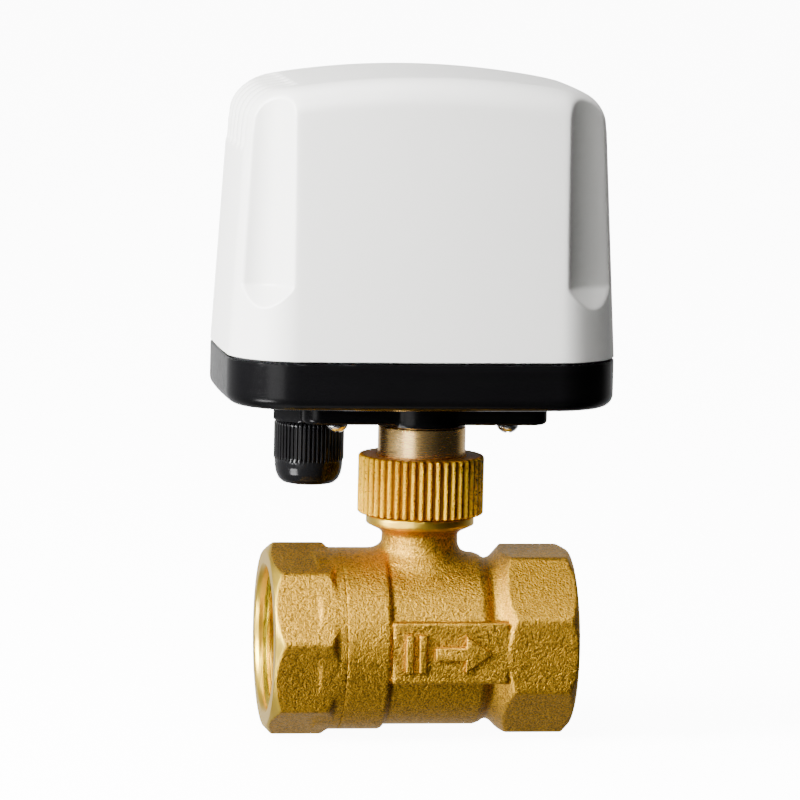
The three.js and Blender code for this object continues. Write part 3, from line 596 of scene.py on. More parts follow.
def build_cover():
    nc, nx, ny = 44, 46, 52
    rings = []

    def grooves(P3, Nn, top):
        """shallow corrugation over the upper left edge"""
        x, y, z = P3[:, 0], P3[:, 1], P3[:, 2]
        ph = (y + 11.5) / 6.3
        w = np.clip((y + 14.4) / 0.8, 0, 1) * np.clip((22.9 - y) / 0.8, 0, 1)
        f = np.clip((z - 112.6) / 1.6, 0, 1) * np.clip((-32.0 - x) / 1.6, 0, 1)
        f = f * f * (3 - 2 * f)
        g = 0.5 + 0.5 * np.cos(2 * math.pi * ph)
        return 0.80 * (0.25 + 0.75 * g ** 1.6) * w * f

    def ring(inset, zf, nrm_z=0.0, wall=0.0):
        Q, Nn = outline(inset, nc, nx, ny)
        Z = zf(Q[:, 0]) if callable(zf) else np.full(len(Q), float(zf))
        Q = fluted(Q, Nn, Z)
        P = np.c_[Q, Z]
        n3 = np.c_[Nn * math.sqrt(1 - nrm_z ** 2), np.full(len(Q), nrm_z)]
        P = P - n3 * grooves(P, Nn, nrm_z)[:, None]
        return P
    Z0 = SEAM + 0.3
    zs = [Z0, Z0 + 0.25, 70, 74, 76.6] + list(np.arange(77.4, 86.4, 0.32)) + [88, 91, 95, 99, 103, 107, 110, 111.5] + list(np.arange(112.4, 118.01, 0.4))
    rings.append(ring(0.35, Z0))
    for z in zs[1:]:
        rings.append(ring((z - Z0) * DRAFT, z))
    e = (118 - Z0) * DRAFT
    fr = 6.6
    # short straight wall, then the rounded top edge
    for k in range(1, 4):
        rings.append(ring(e + 0.05 * k, lambda x, k=k: 118 + (archz(x) - fr - 118) * k / 4))
    for k in range(0, 17):
        a = k / 16 * math.pi / 2
        rings.append(ring(e + 0.2 + fr * (1 - math.cos(a)), lambda x, a=a: archz(x) - fr * (1 - math.sin(a)), math.sin(a)))
    last_inset = e + 0.2 + fr
    Ql, Nl = outline(last_inset, nc, nx, ny)
    for s in list(np.linspace(0.985, 0.70, 20)) + [0.6, 0.48, 0.34, 0.2, 0.08]:
        Q = np.stack([HC[0] + (Ql[:, 0] - HC[0]) * s, HC[1] + (Ql[:, 1] - HC[1]) * s], -1)
        Z = archz(Q[:, 0])
        Q = fluted(Q, Nl, Z)
        P = np.c_[Q, archz(Q[:, 0])]
        P[:, 2] -= grooves(P, Nl, 1.0)
        rings.append(P)
    n = len(rings[0])
    V = np.concatenate(rings); F = [tuple(f) for f in grid_faces(n, len(rings))]
    top = len(V); V = np.vstack([V, [[HC[0], HC[1], TOPZ]]])
    o = (len(rings) - 1) * n
    F += [(o + i, o + (i + 1) % n, top) for i in range(n)]
    # inner skin
    inner = []

    def iring(inset, zf, grow=2.4):
        Q, Nn = outline(2.5 + inset, nc, nx, ny)
        Z = zf(Q[:, 0]) if callable(zf) else np.full(len(Q), float(zf))
        Q = fluted(Q, Nn, np.maximum(Z, 90), grow=grow)
        return np.c_[Q, Z]
    for z in [Z0 + 0.0, 78, 92, 105, 118]:
        inner.append(iring((z - Z0) * DRAFT, z))
    for a in (0.1, 0.4, 0.7, 0.95):
        a *= math.pi / 2
        inner.append(iring(e + 0.2 + 4 * (1 - math.cos(a)), lambda x, a=a: archz(x) - 2.5 - 4 * (1 - math.sin(a))))
    Qi, Ni = outline(2.5 + e + 0.2 + 4, nc, nx, ny)
    for s in (0.9, 0.7, 0.4, 0.15):
        Q = np.stack([HC[0] + (Qi[:, 0] - HC[0]) * s, HC[1] + (Qi[:, 1] - HC[1]) * s], -1)
        Q = fluted(Q, Ni, np.full(len(Q), 120.0), grow=2.4)
        inner.append(np.c_[Q, archz(Q[:, 0]) - 2.5])
    b = len(V); V = np.vstack([V] + inner)
    F += [tuple(int(i) + b for i in f) for f in grid_faces(n, len(inner), flip=True)]
    top = len(V); V = np.vstack([V, [[HC[0], HC[1], TOPZ - 2.5]]])
    o = b + (len(inner) - 1) * n
    F += [(o + (i + 1) % n, o + i, top) for i in range(n)]
    F += [(i, b + i, b + (i + 1) % n, (i + 1) % n) for i in range(n)]
    outward("cover_moulding", V, F, M_WHITE, body="valve", stands=["cover"], slot="cover", angle=50)


def base_sdf(X, Y, Z):
    x, y = X - HC[0], Y - HC[1]

    def plan(inset):
        hx, hy, R = HX - inset, HY - inset, max(HR - inset, 2)
        u = np.minimum(np.abs(x) / hx, 1); v = np.minimum(np.abs(y) / hy, 1)
        xx = np.abs(x) / (1 + HBX / hx * (1 - v * v)) - (hx - R); yy = np.abs(y) / (1 + HBY / hy * (1 - u * u)) - (hy - R)
        return np.hypot(np.maximum(xx, 0), np.maximum(yy, 0)) + np.minimum(np.maximum(xx, yy), 0) - R
    d = plan(0); r = 2.8
    a, b = d + r, BASE0 - Z + r
    tray = np.hypot(np.maximum(a, 0), np.maximum(b, 0)) + np.minimum(np.maximum(a, b), 0) - r
    a, b = d + 0.35, Z - SEAM + 0.35
    rim = np.hypot(np.maximum(a, 0), np.maximum(b, 0)) + np.minimum(np.maximum(a, b), 0) - 0.35
    tray = np.maximum(tray, rim)

    def rbox(x0, x1, y0, y1, R):
        qx = np.abs(X - (x0 + x1) / 2) - (x1 - x0) / 2 + R; qy = np.abs(Y - (y0 + y1) / 2) - (y1 - y0) / 2 + R
        return np.hypot(np.maximum(qx, 0), np.maximum(qy, 0)) + np.minimum(np.maximum(qx, qy), 0) - R
    p = rbox(-28.3, 28.3, -8, 27, 4.2)
    a, b = p + 1.1, 50.1 - Z + 1.1
    plat = np.hypot(np.maximum(a, 0), np.maximum(b, 0)) + np.minimum(np.maximum(a, b), 0) - 1.1
    plat = np.maximum(plat, Z - 57.5)
    boss = np.maximum(np.maximum(np.hypot(X, Y) - 10.15, 49.6 - Z), Z - 57.5)
    g = np.hypot(X - GL[0], Y - GL[1])
    plat = smax(plat, -(g - 9.9), 0.6)
    s = smin(tray, plat, 0.8)
    s = smin(s, boss, 0.5)
    inner = np.maximum(plan(3.2), 58.5 - Z)
    pocket = np.maximum(np.maximum(rbox(-25.9, 25.9, -5.6, 24.6, 2), 52.5 - Z), Z - 59)
    pocket = np.maximum(pocket, -(np.hypot(X, Y) - 12.6)); pocket = np.maximum(pocket, -(g - 11.9))
    s = np.maximum(s, -inner); s = np.maximum(s, -pocket)
    for px, py in ((-20.3, -4.5), (19.1, -4.5), (-20.3, 21.5), (19.1, 21.5)):
        q = np.hypot(X - px, Y - py)
        s = np.minimum(s, np.maximum(np.maximum(q - 3.4, 51 - Z), Z - 63.7))
        s = np.maximum(s, -(q - 1.8))
    for sx, sy in FLUTES:
        px, py = corner_pt(sx, sy, 7.4)
        q = np.hypot(X - px, Y - py)
        s = np.minimum(s, np.maximum(np.maximum(q - 3.9, 57.5 - Z), Z - SEAM))
        s = np.maximum(s, -(q - 1.8))
        s = np.maximum(s, -np.maximum(q - 3.3, Z - 58.4))
    s = np.maximum(s, -np.maximum(np.hypot(X, Y) - 8.9, Z - 80))
    s = np.maximum(s, -np.maximum(np.hypot(X, Y) - 13.4, 58.49 - Z))
    s = np.maximum(s, -(g - 6.3))
    s = np.maximum(s, -np.maximum(g - 9.4, 58.49 - Z))
    groove = np.maximum(np.abs(d + 1.65) - 0.65, 65.2 - Z)
    s = np.maximum(s, -groove)
    return s


def build_base():
    V, Q = nets(base_sdf, (-48, -30.5, 48.8), (43.2, 35.5, 67.3), 0.48)
    make("base_moulding", V, Q, M_BLACK, body="valve", stands=["base"], slot="base", angle=35)


def oct_sdf(Y, Z, phase, R=22.2):
    a = R * math.cos(math.pi / 8)
    d = None
    for i in range(8):
        # flat normals; the octagon's corner sits "phase" degrees above the front
        th = (phase + 22.5 + 45 * i) * D2R
        v = -Y * math.cos(th) + Z * math.sin(th) - a
        d = v if d is None else smax(d, v, 0.55)
    return d


BODY_PROF = [(-19.02, 0), (-19.02, 20.8), (-18.95, 20.88), (-9.5, 20.88), (-8.9, 20.6), (-8.3, 19.8), (12.6, 19.8), (13.9, 19.3), (14.6, 18.75), (15.4, 18.5), (17.0, 18.5), (17.0, 0)]
NECK_PROF = [(0, 12), (11.4, 12), (10.3, 18.2), (9.2, 20.2), (8.8, 22.0), (8.7, 24.5), (9.5, 25.35), (11.2, 26.15), (12.4, 26.75), (12.4, 28.6), (11.8, 28.7), (11.8, 35.8), (11.2, 36.4), (0, 36.4)]


def body_sdf(X, Y, Z):
    r = np.hypot(Y, Z)
    a = poly2(X, r, BODY_PROF)
    o = oct_sdf(Y, Z, 19.4)
    cone = poly2(X, r, [(15.9, -1), (15.9, 18.3), (17.3, 19.4), (20.2, 22.6), (32.2, 22.6), (34.5, 20.2), (34.5, -1)])
    o = smax(o, cone, 0.15)
    s = smin(a, o, 0.7)
    rn = np.hypot(X, Y)
    nk = poly2(rn, Z, NECK_PROF)
    k = np.where(Z < 24, 2.8, 0.3)
    s = smin(s, nk, k)
    qx = np.abs(X - 4.85) - 13.35 + 0.5; qz = np.abs(Z + 0.45) - 7.05 + 0.5; qy = np.abs(Y + 15) - 5.3 + 0.5
    pad = np.sqrt(np.maximum(qx, 0) ** 2 + np.maximum(qy, 0) ** 2 + np.maximum(qz, 0) ** 2) + np.minimum(np.maximum(np.maximum(qx, qy), qz), 0) - 0.5
    s = smin(s, pad, 0.5)
    bore = poly2(X, r, [(-20.5, -1), (-20.5, 18.2), (-12, 18.2), (-12, 17.0), (9, 17.0), (9, 14.6), (13.6, 14.6), (13.6, 10.4), (19, 10.4), (19, 16.5), (33.7, 16.5), (34.5, 17.1), (36.5, 17.1), (36.5, -1)])
    s = np.maximum(s, -bore)
    s = np.maximum(s, -np.maximum(rn - 6.9, np.maximum(10 - Z, Z - 19.4)))
    s = np.maximum(s, -np.maximum(rn - 5.2, 19 - Z))
    return s


def cap_sdf(X, Y, Z):
    r = np.hypot(Y, Z)
    o = oct_sdf(Y, Z, 4.6)
    cone = poly2(X, r, [(-35.5, -1), (-35.5, 20.2), (-33.2, 22.6), (-22.9, 22.6), (-21.2, 20.9), (-21.2, -1)])
    o = smax(o, cone, 0.15)
    a = poly2(X, r, [(-25, -1), (-25, 20.88), (-18.98, 20.88), (-18.88, 20.8), (-18.88, 17.9), (-12.3, 17.9), (-12.3, -1)])
    s = smin(o, a, 0.4)
    bore = poly2(X, r, [(-37.5, -1), (-37.5, 17.1), (-35.5, 17.1), (-34.7, 16.5), (-20.4, 16.5), (-20.4, 10.4), (-13.6, 10.4), (-13.6, 14.6), (-11, 14.6), (-11, -1)])
    return np.maximum(s, -bore)


def helix_ridge(name, x0, x1, r_out, r_in, pitch, mat, body, slot, seg=56):
    """one 55 degree thread ridge standing in from the bore wall, along X"""
    turns = (x1 - x0) / pitch
    n = int(turns * seg)
    w = pitch * 0.47
    V, F = [], []
    for i in range(n + 1):
        t = i / seg; th = 2 * math.pi * t; x = x0 + pitch * t
        f = min(1, i / (seg * 0.4), (n - i) / (seg * 0.4)); f = max(f, 0.05)
        ri = r_out - (r_out - r_in) * f
        for r, dx in ((r_out + 0.25, -w), (ri + 0.12, -0.16), (ri, 0.0), (ri + 0.12, 0.16), (r_out + 0.25, w)):
            V.append((x + dx * (1 if abs(dx) < w else 1), -r * math.cos(th), -r * math.sin(th)))
    for i in range(n):
        for k in range(5):
            a = i * 5 + k; b = i * 5 + (k + 1) % 5
            F.append((a, b, b + 5, a + 5))
    F.append((4, 3, 2, 1, 0)); F.append(tuple(n * 5 + k for k in range(5)))
    return outward(name, np.array(V), F, mat, body=body, slot=slot, angle=60)


def prism_mark(name, pts, y0, y1, mat):
    """a raised casting mark on the pad, in X and Z, with soft edges"""
    bm = bmesh.new()
    vs = [bm.verts.new((x * S, y0 * S, z * S)) for x, z in pts]
    f = bm.faces.new(vs)
    r = bmesh.ops.extrude_face_region(bm, geom=[f])
    up = [e for e in r["geom"] if isinstance(e, bmesh.types.BMVert)]
    bmesh.ops.translate(bm, verts=up, vec=(0, (y1 - y0) * S, 0))
    bmesh.ops.recalc_face_normals(bm, faces=bm.faces)
    edges = [e for e in bm.edges if all(abs(v.co.y - y1 * S) < 1e-7 for v in e.verts)] + [e for e in bm.edges if abs(e.verts[0].co.y - e.verts[1].co.y) > 1e-5]
    bmesh.ops.bevel(bm, geom=edges, offset=0.42 * S, segments=4, affect="EDGES", profile=0.5)
    me = bpy.data.meshes.new(name); bm.to_mesh(me); bm.free()
    o = bpy.data.objects.new(name, me); scene.collection.objects.link(o); me.materials.append(mat)
    me.polygons.foreach_set("use_smooth", [True] * len(me.polygons))
    me.set_sharp_from_angle(angle=50 * D2R)
    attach(o, "valve")
    return o


def build_valve():
    h = 0.46
    V, Q = nets(body_sdf, (-20.3, -23.4, -23.4), (35.7, 23.4, 37.6), h)
    make("valve_body_forging", V, Q, M_BODY, body="valve", stands=["valve_body"], slot="valve_body", angle=40)
    V, Q = nets(cap_sdf, (-36.8, -23.4, -23.4), (-11.2, 23.4, 23.4), h)
    make("end_cap_forging", V, Q, M_CAP, body="valve", stands=["end_cap"], slot="end_cap", angle=40)
    helix_ridge("inlet_thread", -33.9, -21.6, 16.5, 15.25, 2.309, M_THREAD, "valve", "end_cap")
    helix_ridge("outlet_thread", 20.2, 32.9, 16.5, 15.25, 2.309, M_THREAD, "valve", "valve_body")
    y0, y1 = -19.8, -21.4
    prism_mark("pad_bar_a", [(-5.7, -4.9), (-3.8, -4.9), (-3.8, 3.9), (-5.7, 3.9)], y0, y1, M_BODY)
    prism_mark("pad_bar_b", [(-2.7, -4.9), (-0.8, -4.9), (-0.8, 3.9), (-2.7, 3.9)], y0, y1, M_BODY)
    prism_mark("pad_arrow", [(1.1, -2.0), (8.1, -2.0), (8.1, -4.8), (14.4, -0.5), (8.1, 3.8), (8.1, 1.0), (1.1, 1.0)], y0, y1, M_BODY)


def build_nut():
    NK = 46
    prof = round_profile([(12.2, 29.0), (13.9, 29.0), (14.46, 29.4), (14.46, 42.1), (14.1, 42.6), (13.3, 42.6), (12.6, 42.6), (10.4, 42.6), (10.4, 39.6), (12.2, 39.6)], {1: .3, 2: .3, 3: .25, 4: .25, 6: .2, 7: .3}, n=3, closed=True)
    prof = fine_profile(prof, 0.6, True)

    def mod(th, r, h):
        if r < 12.5:
            return np.full(len(th), r)
        w = min(1, (r - 12.5) / 0.9)
        p = (th * NK / (2 * math.pi)) % 1.0
        tri = np.abs(p - 0.5) * 2          # 1 at the valley, 0 at the crest
        v = np.clip((tri - 0.16) / 0.74, 0, 1); v = v * v * (3 - 2 * v)
        return r - 1.0 * w * v
    lathe("union_nut_knurled", prof, NK * 14, M_NUT_PAINTED_SHADE, mod=mod, closed=True, body="union_nut", stands=["union_nut"], slot="union_nut", angle=70)


def build_gland():
    NR = 50
    prof = round_profile([(4.6, 34.9), (5.0, 34.8), (5.9, 35.0), (6.9, 35.9), (7.5, 37.2), (7.8, 38.8), (7.86, 40.3), (8.1, 40.55), (8.1, 48.7), (7.8, 49.2), (6.3, 49.2), (6.3, 37.6), (4.6, 37.6)], {2: 1, 3: 1, 4: 1, 5: 1}, n=3, closed=True)
    prof = fine_profile(prof, 0.8, True)

    def mod(th, r, h):
        if r < 7.7 or h < 40.4:
            return np.full(len(th), r)
        p = (th * NR / (2 * math.pi)) % 1.0
        tri = np.abs(p - 0.5) * 2
        v = np.clip((tri - 0.40) / 0.3, 0, 1); v = v * v * (3 - 2 * v)
        return r - 0.42 * v
    lathe("gland_dome_nut_ribbed", prof, NR * 12, M_GLAND, mod=mod, at=GL, closed=True, body="gland_nut", stands=["gland_dome_nut"], slot="gland_dome_nut", angle=60)

    def hexmod(th, r, h):
        if r < 7 or h > 55.8:
            return np.full(len(th), r)
        p = (th - 0.35 + math.pi / 6) % (math.pi / 3) - math.pi / 6     # 0 at a corner
        flat = 8.14 / np.cos(math.pi / 6 - np.abs(p))
        return np.minimum(flat, r)
    prof = fine_profile([(4.3, 42.5), (5.9, 42.5), (5.9, 49.5), (8.35, 49.5), (9.25, 50.1), (9.25, 55.2), (8.9, 55.7), (5.9, 55.7), (5.9, 63.4), (4.3, 63.4)], 0.8, True)
    lathe("gland_body_hex", prof, 180, M_GLAND, mod=hexmod, at=GL, closed=True, body="valve", stands=["gland_body"], slot="gland_body", angle=35)


def build_sleeve():
    prof = round_profile([(7.0, 36.8), (11.8, 36.8), (11.8, 39.2), (10.05, 39.2), (10.05, 49.3), (8.6, 49.3), (8.6, 58.8), (13.2, 58.8), (13.2, 60.8), (7.0, 60.8)], {1: .3, 2: .3, 4: .25, 7: .3, 8: .3}, n=3, closed=True)
    prof = fine_profile(prof, 1.2, True)
    lathe("mounting_sleeve_turned", prof, 128, M_TURN, closed=True, body="valve", stands=["mounting_sleeve"], slot="mounting_sleeve", angle=35)


def build_ball():
    """polished ball: bore along X, slot for the stem across the top"""
    R, B = 15.5, 10.0
    a0 = math.asin(B / R)
    ang = sorted(list(np.linspace(a0, math.pi - a0, 41)) + [math.acos(x / R) for x in (2.61, 2.59, -2.59, -2.61)])
    prof = [(R * math.sin(t), -R * math.cos(t)) for t in ang] + [(B, x) for x in np.linspace(R * math.cos(a0), -R * math.cos(a0), 9)[1:-1]]

    def mod(th, r, h):
        rr = np.full(len(th), r)
        if abs(h) < 2.6 and r > 11.9:
            z = -np.cos(th)
            m = rr * z > 11.9
            rr[m] = 11.9 / z[m]
        return rr
    lathe("ball_polished", prof, 128, M_BALL, mod=mod, axis="x", closed=True, body="ball", stands=["ball"], slot="ball", angle=30)


def build_screws():
    """cross-recess pan heads; head underside at z, shank upwards"""
    def one(name, node, x, y, z, rh, hh, length, rs=1.5):
        def f(X, Y, Z):
            q = np.hypot(X - x, Y - y); zz = z - Z              # zz: depth below the underside
            R = (rh * rh + hh * hh) / (2 * hh) * 0.92
            head = np.maximum(np.sqrt(q * q + (zz - (hh - R)) ** 2) - R, np.maximum(-zz, q - rh))
            head = np.maximum(head, zz - hh)
            head = head - 0.12
            pitch = 0.7
            ang = np.arctan2(Y - y, X - x) / (2 * math.pi)
            ph = ((-zz) / pitch - ang) % 1.0
            shank = np.maximum(q - (rs - 0.28 * np.abs(ph - 0.5) * 2), np.maximum(zz - 0.3, -zz - length))
            s = np.minimum(head, shank)
            taper = 0.37 - 0.13 * np.clip((hh + 0.1 - zz) / 1.1, 0, 1)
            arm = np.minimum(np.maximum(np.abs(X - x) - taper, np.abs(Y - y) - 1.35), np.maximum(np.abs(Y - y) - taper, np.abs(X - x) - 1.35))
            cross = np.maximum(arm, (hh - 1.0) - zz + np.maximum(q - 0.6, 0) * 0.8)
            return np.maximum(s, -cross)
        m = rh + 0.4
        V, Q = nets(f, (x - m, y - m, z - hh - 0.5), (x + m, y + m, z + length + 0.4), 0.2)
        make(name, V, Q, M_STEEL, body="valve", stands=[node], slot=node, angle=35)
    for n, x, y in (("front_left", -20.3, -4.5), ("front_right", 19.1, -4.5), ("rear_left", -20.3, 21.5), ("rear_right", 19.1, 21.5)):
        one("base_screw_" + n + "_fine", "base_screw_" + n, x, y, 49.7, 2.5, 1.5, 13.1)
    for n, (sx, sy) in zip(("front_left", "front_right", "rear_left", "rear_right"), FLUTES):
        x, y = corner_pt(sx, sy, 7.4)
        one("cover_screw_" + n + "_fine", "cover_screw_" + n, x, y, 58.0, 2.7, 1.6, 17.5)


def rbox3(X, Y, Z, x0, x1, y0, y1, z0, z1, r=0.0):
    dx = np.abs(X - (x0 + x1) / 2) - ((x1 - x0) / 2 - r); dy = np.abs(Y - (y0 + y1) / 2) - ((y1 - y0) / 2 - r); dz = np.abs(Z - (z0 + z1) / 2) - ((z1 - z0) / 2 - r)
    return np.sqrt(np.maximum(dx, 0) ** 2 + np.maximum(dy, 0) ** 2 + np.maximum(dz, 0) ** 2) + np.minimum(np.maximum(dx, np.maximum(dy, dz)), 0) - r


def tube(X, Y, x, y, rad):
    return np.hypot(X - x, Y - y) - rad


def build_inside():
    """relay, capacitor, terminals, motor can and switch cases with their moulded and pressed detail"""
    def add(name, node, f, lo, hi, h, mat, stands=True, angle=35):
        V, Q = nets(f, lo, hi, h)
        make(name, V, Q, mat, body="valve", stands=[node] if stands else (), slot=node, angle=angle)

    def relay(X, Y, Z):
        d = rbox3(X, Y, Z, -28, -9, -12, 3.5, 105.5, 119.9, 0.9)
        lip = rbox3(X, Y, Z, -28, -9, -12, 3.5, 104.9, 106.6, 0.3)
        d = np.minimum(np.maximum(d, 106.9 - Z), lip)                                                     # cover and its foot
        d = np.minimum(d, rbox3(X, Y, Z, -27.7, -9.3, -11.7, 3.2, 105.0, 108.0, 0.2))
        d = np.maximum(d, -rbox3(X, Y, Z, -25.5, -11.5, -9.5, 1.0, 119.5, 121, 0.2))                      # sunk field on top
        d = np.maximum(d, -np.maximum(tube(X, Y, -26.3, 1.9, 0.7), 119.0 - Z))                            # vent
        for x in (-23.5, -18.5, -13.5):
            d = np.maximum(d, -rbox3(X, Y, Z, x - 1.1, x + 1.1, -12.8, -11.55, 108.5, 117.5, 0.3))        # flutes in the side
        return d
    add("relay_case", "relay", relay, (-28.6, -12.6, 104.3), (-8.4, 4.1, 120.5), 0.34, CARRY_MAT["relay"])

    def cap_(X, Y, Z):
        q = np.hypot(Y - 13.5, Z - 111.2)
        crimp = 0.7 * np.exp(-((X + 19.3) / 0.55) ** 2)
        R = 5.95 - crimp
        dx = np.abs(X + 10) - 11.1; dq = q - (R - 0.8)
        d = np.hypot(np.maximum(dx, 0), np.maximum(dq, 0)) + np.minimum(np.maximum(dx, dq), 0) - 0.8
        d = np.maximum(d, -np.maximum(q - 4.6, 1.3 - (X + 0.0)))                                          # sunk end
        d = np.maximum(d, -np.maximum(q - 4.4, X + 21.4))
        for z in (-1.7, 1.7):
            d = np.minimum(d, np.maximum(np.hypot(Y - 13.5, Z - 111.2 - z) - 0.4, np.abs(X + 21.5) - 0.45))
        return d
    add("capacitor_can", "motor_capacitor", cap_, (-22.6, 6.9, 104.6), (2.6, 20.1, 117.8), 0.34, CARRY_MAT["motor_capacitor"])

    def term(X, Y, Z):
        d = rbox3(X, Y, Z, 8, 27, -15, -4, 104.9, 115.0, 0.35)
        d = np.maximum(d, -rbox3(X, Y, Z, 7, 28, -4.9, -3, 111.5, 116, 0.2))                             # step along the back
        for i in range(3):
            x = 11.2 + 6.3 * i
            d = np.maximum(d, -np.maximum(tube(X, Y, x, -9.5, 1.9), 108 - Z))
            d = np.maximum(d, -rbox3(X, Y, Z, x - 1.9, x + 1.9, -16, -11.9, 106.0, 109.6, 0.3))
        for x in (14.35, 20.65):
            d = np.maximum(d, -rbox3(X, Y, Z, x - 0.25, x + 0.25, -16, -14.5, 104, 116, 0.1))             # joints between the poles
        return d
    add("terminal_case", "terminal_block", term, (7.4, -15.6, 104.3), (27.6, -3.4, 115.6), 0.32, CARRY_MAT["terminal_block"])

    def screws(X, Y, Z):
        d = np.full(X.shape, 99.0)
        for i, a in enumerate((0.3, 1.2, -0.5)):
            x = 11.2 + 6.3 * i
            q = np.maximum(tube(X, Y, x, -9.5, 1.6), np.abs(Z - 109.7) - 1.4)
            u = (X - x) * math.cos(a) + (Y + 9.5) * math.sin(a)
            d = np.minimum(d, np.maximum(q, -np.maximum(np.abs(u) - 0.25, 110.4 - Z)))
        return d
    add("terminal_screws", "terminal_block", screws, (9.0, -11.6, 107.9), (26.0, -7.4, 111.6), 0.22, M_STEEL, stands=False)

    def case(zc):
        def f(X, Y, Z):
            d = rbox3(X, Y, Z, 8.0, 27.8, -3.1, 6.9, zc - 2.9, zc + 2.9, 0.3)
            d = np.maximum(d, -rbox3(X, Y, Z, 7, 11.9, -1.6, 1.6, zc - 1.6, zc + 1.6))
            for x, y in ((13.6, 4.4), (23.4, 4.4)):
                d = np.maximum(d, -tube(X, Y, x, y, 1.2))
            groove = np.maximum(np.abs(Z - zc - 2.2) - 0.3, -rbox3(X, Y, Z, 8.45, 27.35, -2.65, 6.45, zc - 4, zc + 4))
            d = np.maximum(d, -groove)                                                                     # lid joint
            return np.maximum(d, -rbox3(X, Y, Z, 14.5, 22.5, -1.8, 1.2, zc + 2.65, zc + 4, 0.1))
        return f
    for n, zc in (("open", 82.65), ("closed", 88.95)):
        add("switch_case_" + n, "limit_switch_" + n, case(zc), (7.4, -3.7, zc - 3.5), (28.4, 7.5, zc + 3.5), 0.32, CARRY_MAT["limit_switch_open"])

    mx, my = -24.0, 5.0

    def motor(X, Y, Z):
        q = np.hypot(X - mx, Y - my)
        dz = np.abs(Z - 89.0) - 7.8; dq = q - 15.7
        d = np.hypot(np.maximum(dz, 0), np.maximum(dq, 0)) + np.minimum(np.maximum(dz, dq), 0) - 1.2
        d = np.maximum(d, -np.maximum(np.abs(Z - 95.4) - 0.25, 16.6 - q))                                 # rolled seam
        d = np.maximum(d, -np.maximum(np.maximum(6.0 - q, q - 12.5), 97.5 - Z))                           # sunk ring on top
        d = np.minimum(d, rbox3(X, Y, Z, mx - 3.5, mx + 3.5, my - 20.5, my + 20.5, 80.0, 81.2, 0.2))
        for s in (-1, 1):
            d = np.maximum(d, -tube(X, Y, mx, my + s * 18.6, 1.3))
        return d
    add("motor_can_pressed", "motor_can", motor, (mx - 17.6, my - 21.1, 79.4), (mx + 17.6, my + 21.1, 98.6), 0.42, M_STEEL)


build_cover(); build_base(); build_valve(); build_nut(); build_gland(); build_sleeve(); build_ball(); build_screws(); build_inside()

# ------------------------------------------------------------------ carried-over CAD nodes
CARRY = CARRY_MAT
CARRY["limit_switch_closed"] = CARRY["limit_switch_open"]; CARRY["switch_plunger_closed"] = CARRY["switch_plunger_open"]
M_SPACER = plastic("spacer", (0.7, 0.7, 0.68), 0.45, grain=900, gdist=0.00001)
m, nt, b = new_mat("board_laminate"); co = coords(nt)
# solder mask over copper tracks, with tinned pads on a 2.54 mm grid
w1 = N(nt, "ShaderNodeTexBrick"); w1.offset = 0.37; w1.squash = 0.6; w1.squash_frequency = 3
for k, v in (("Scale", 78.0), ("Mortar Size", 0.035), ("Mortar Smooth", 0.1), ("Brick Width", 0.9), ("Row Height", 0.198)):
    w1.inputs[k].default_value = v
w1.inputs["Color1"].default_value = (0.006, 0.085, 0.030, 1); w1.inputs["Color2"].default_value = (0.005, 0.070, 0.026, 1); w1.inputs["Mortar"].default_value = (0.012, 0.16, 0.055, 1)
nt.links.new(co, w1.inputs["Vector"])
sb = N(nt, "ShaderNodeSeparateXYZ"); nt.links.new(co, sb.inputs[0])
cell = [math_(nt, "SUBTRACT", math_(nt, "FRACT", math_(nt, "MULTIPLY", sb.outputs[k], 1.0 / 0.00254)), 0.5) for k in (0, 1)]
rd = radial(nt, cell[0], cell[1])
some = fmap(nt, noise(nt, co, 260, 1), 0.50, 0.53, 0.0, 1.0)
pad_ = math_(nt, "MULTIPLY", fmap(nt, rd, 0.19, 0.22, 1.0, 0.0), some)
hole = math_(nt, "MULTIPLY", fmap(nt, rd, 0.08, 0.10, 1.0, 0.0), some)
c1 = mixc(nt, pad_, w1.outputs["Color"], (0.55, 0.55, 0.52)); c1 = mixc(nt, hole, c1, (0.01, 0.01, 0.01))
nt.links.new(c1, b.inputs["Base Color"])
nt.links.new(mixf(nt, pad_, fmap(nt, noise(nt, co, 500), 0.3, 0.7, 0.30, 0.42), 0.25), b.inputs["Roughness"])
nt.links.new(math_(nt, "SUBTRACT", pad_, hole), b.inputs["Metallic"])
nt.links.new(bump(nt, math_(nt, "SUBTRACT", math_(nt, "ADD", w1.outputs["Fac"], pad_), math_(nt, "MULTIPLY", hole, 2.0)), 0.00004), b.inputs["Normal"])
CARRY["circuit_board"] = m
for n, o in frame["nodes"].items():
    mat = CARRY.get(n) or (M_SPACER if n.startswith("board_spacer") else M_STEEL)
    o.data.materials.clear(); o.data.materials.append(mat)

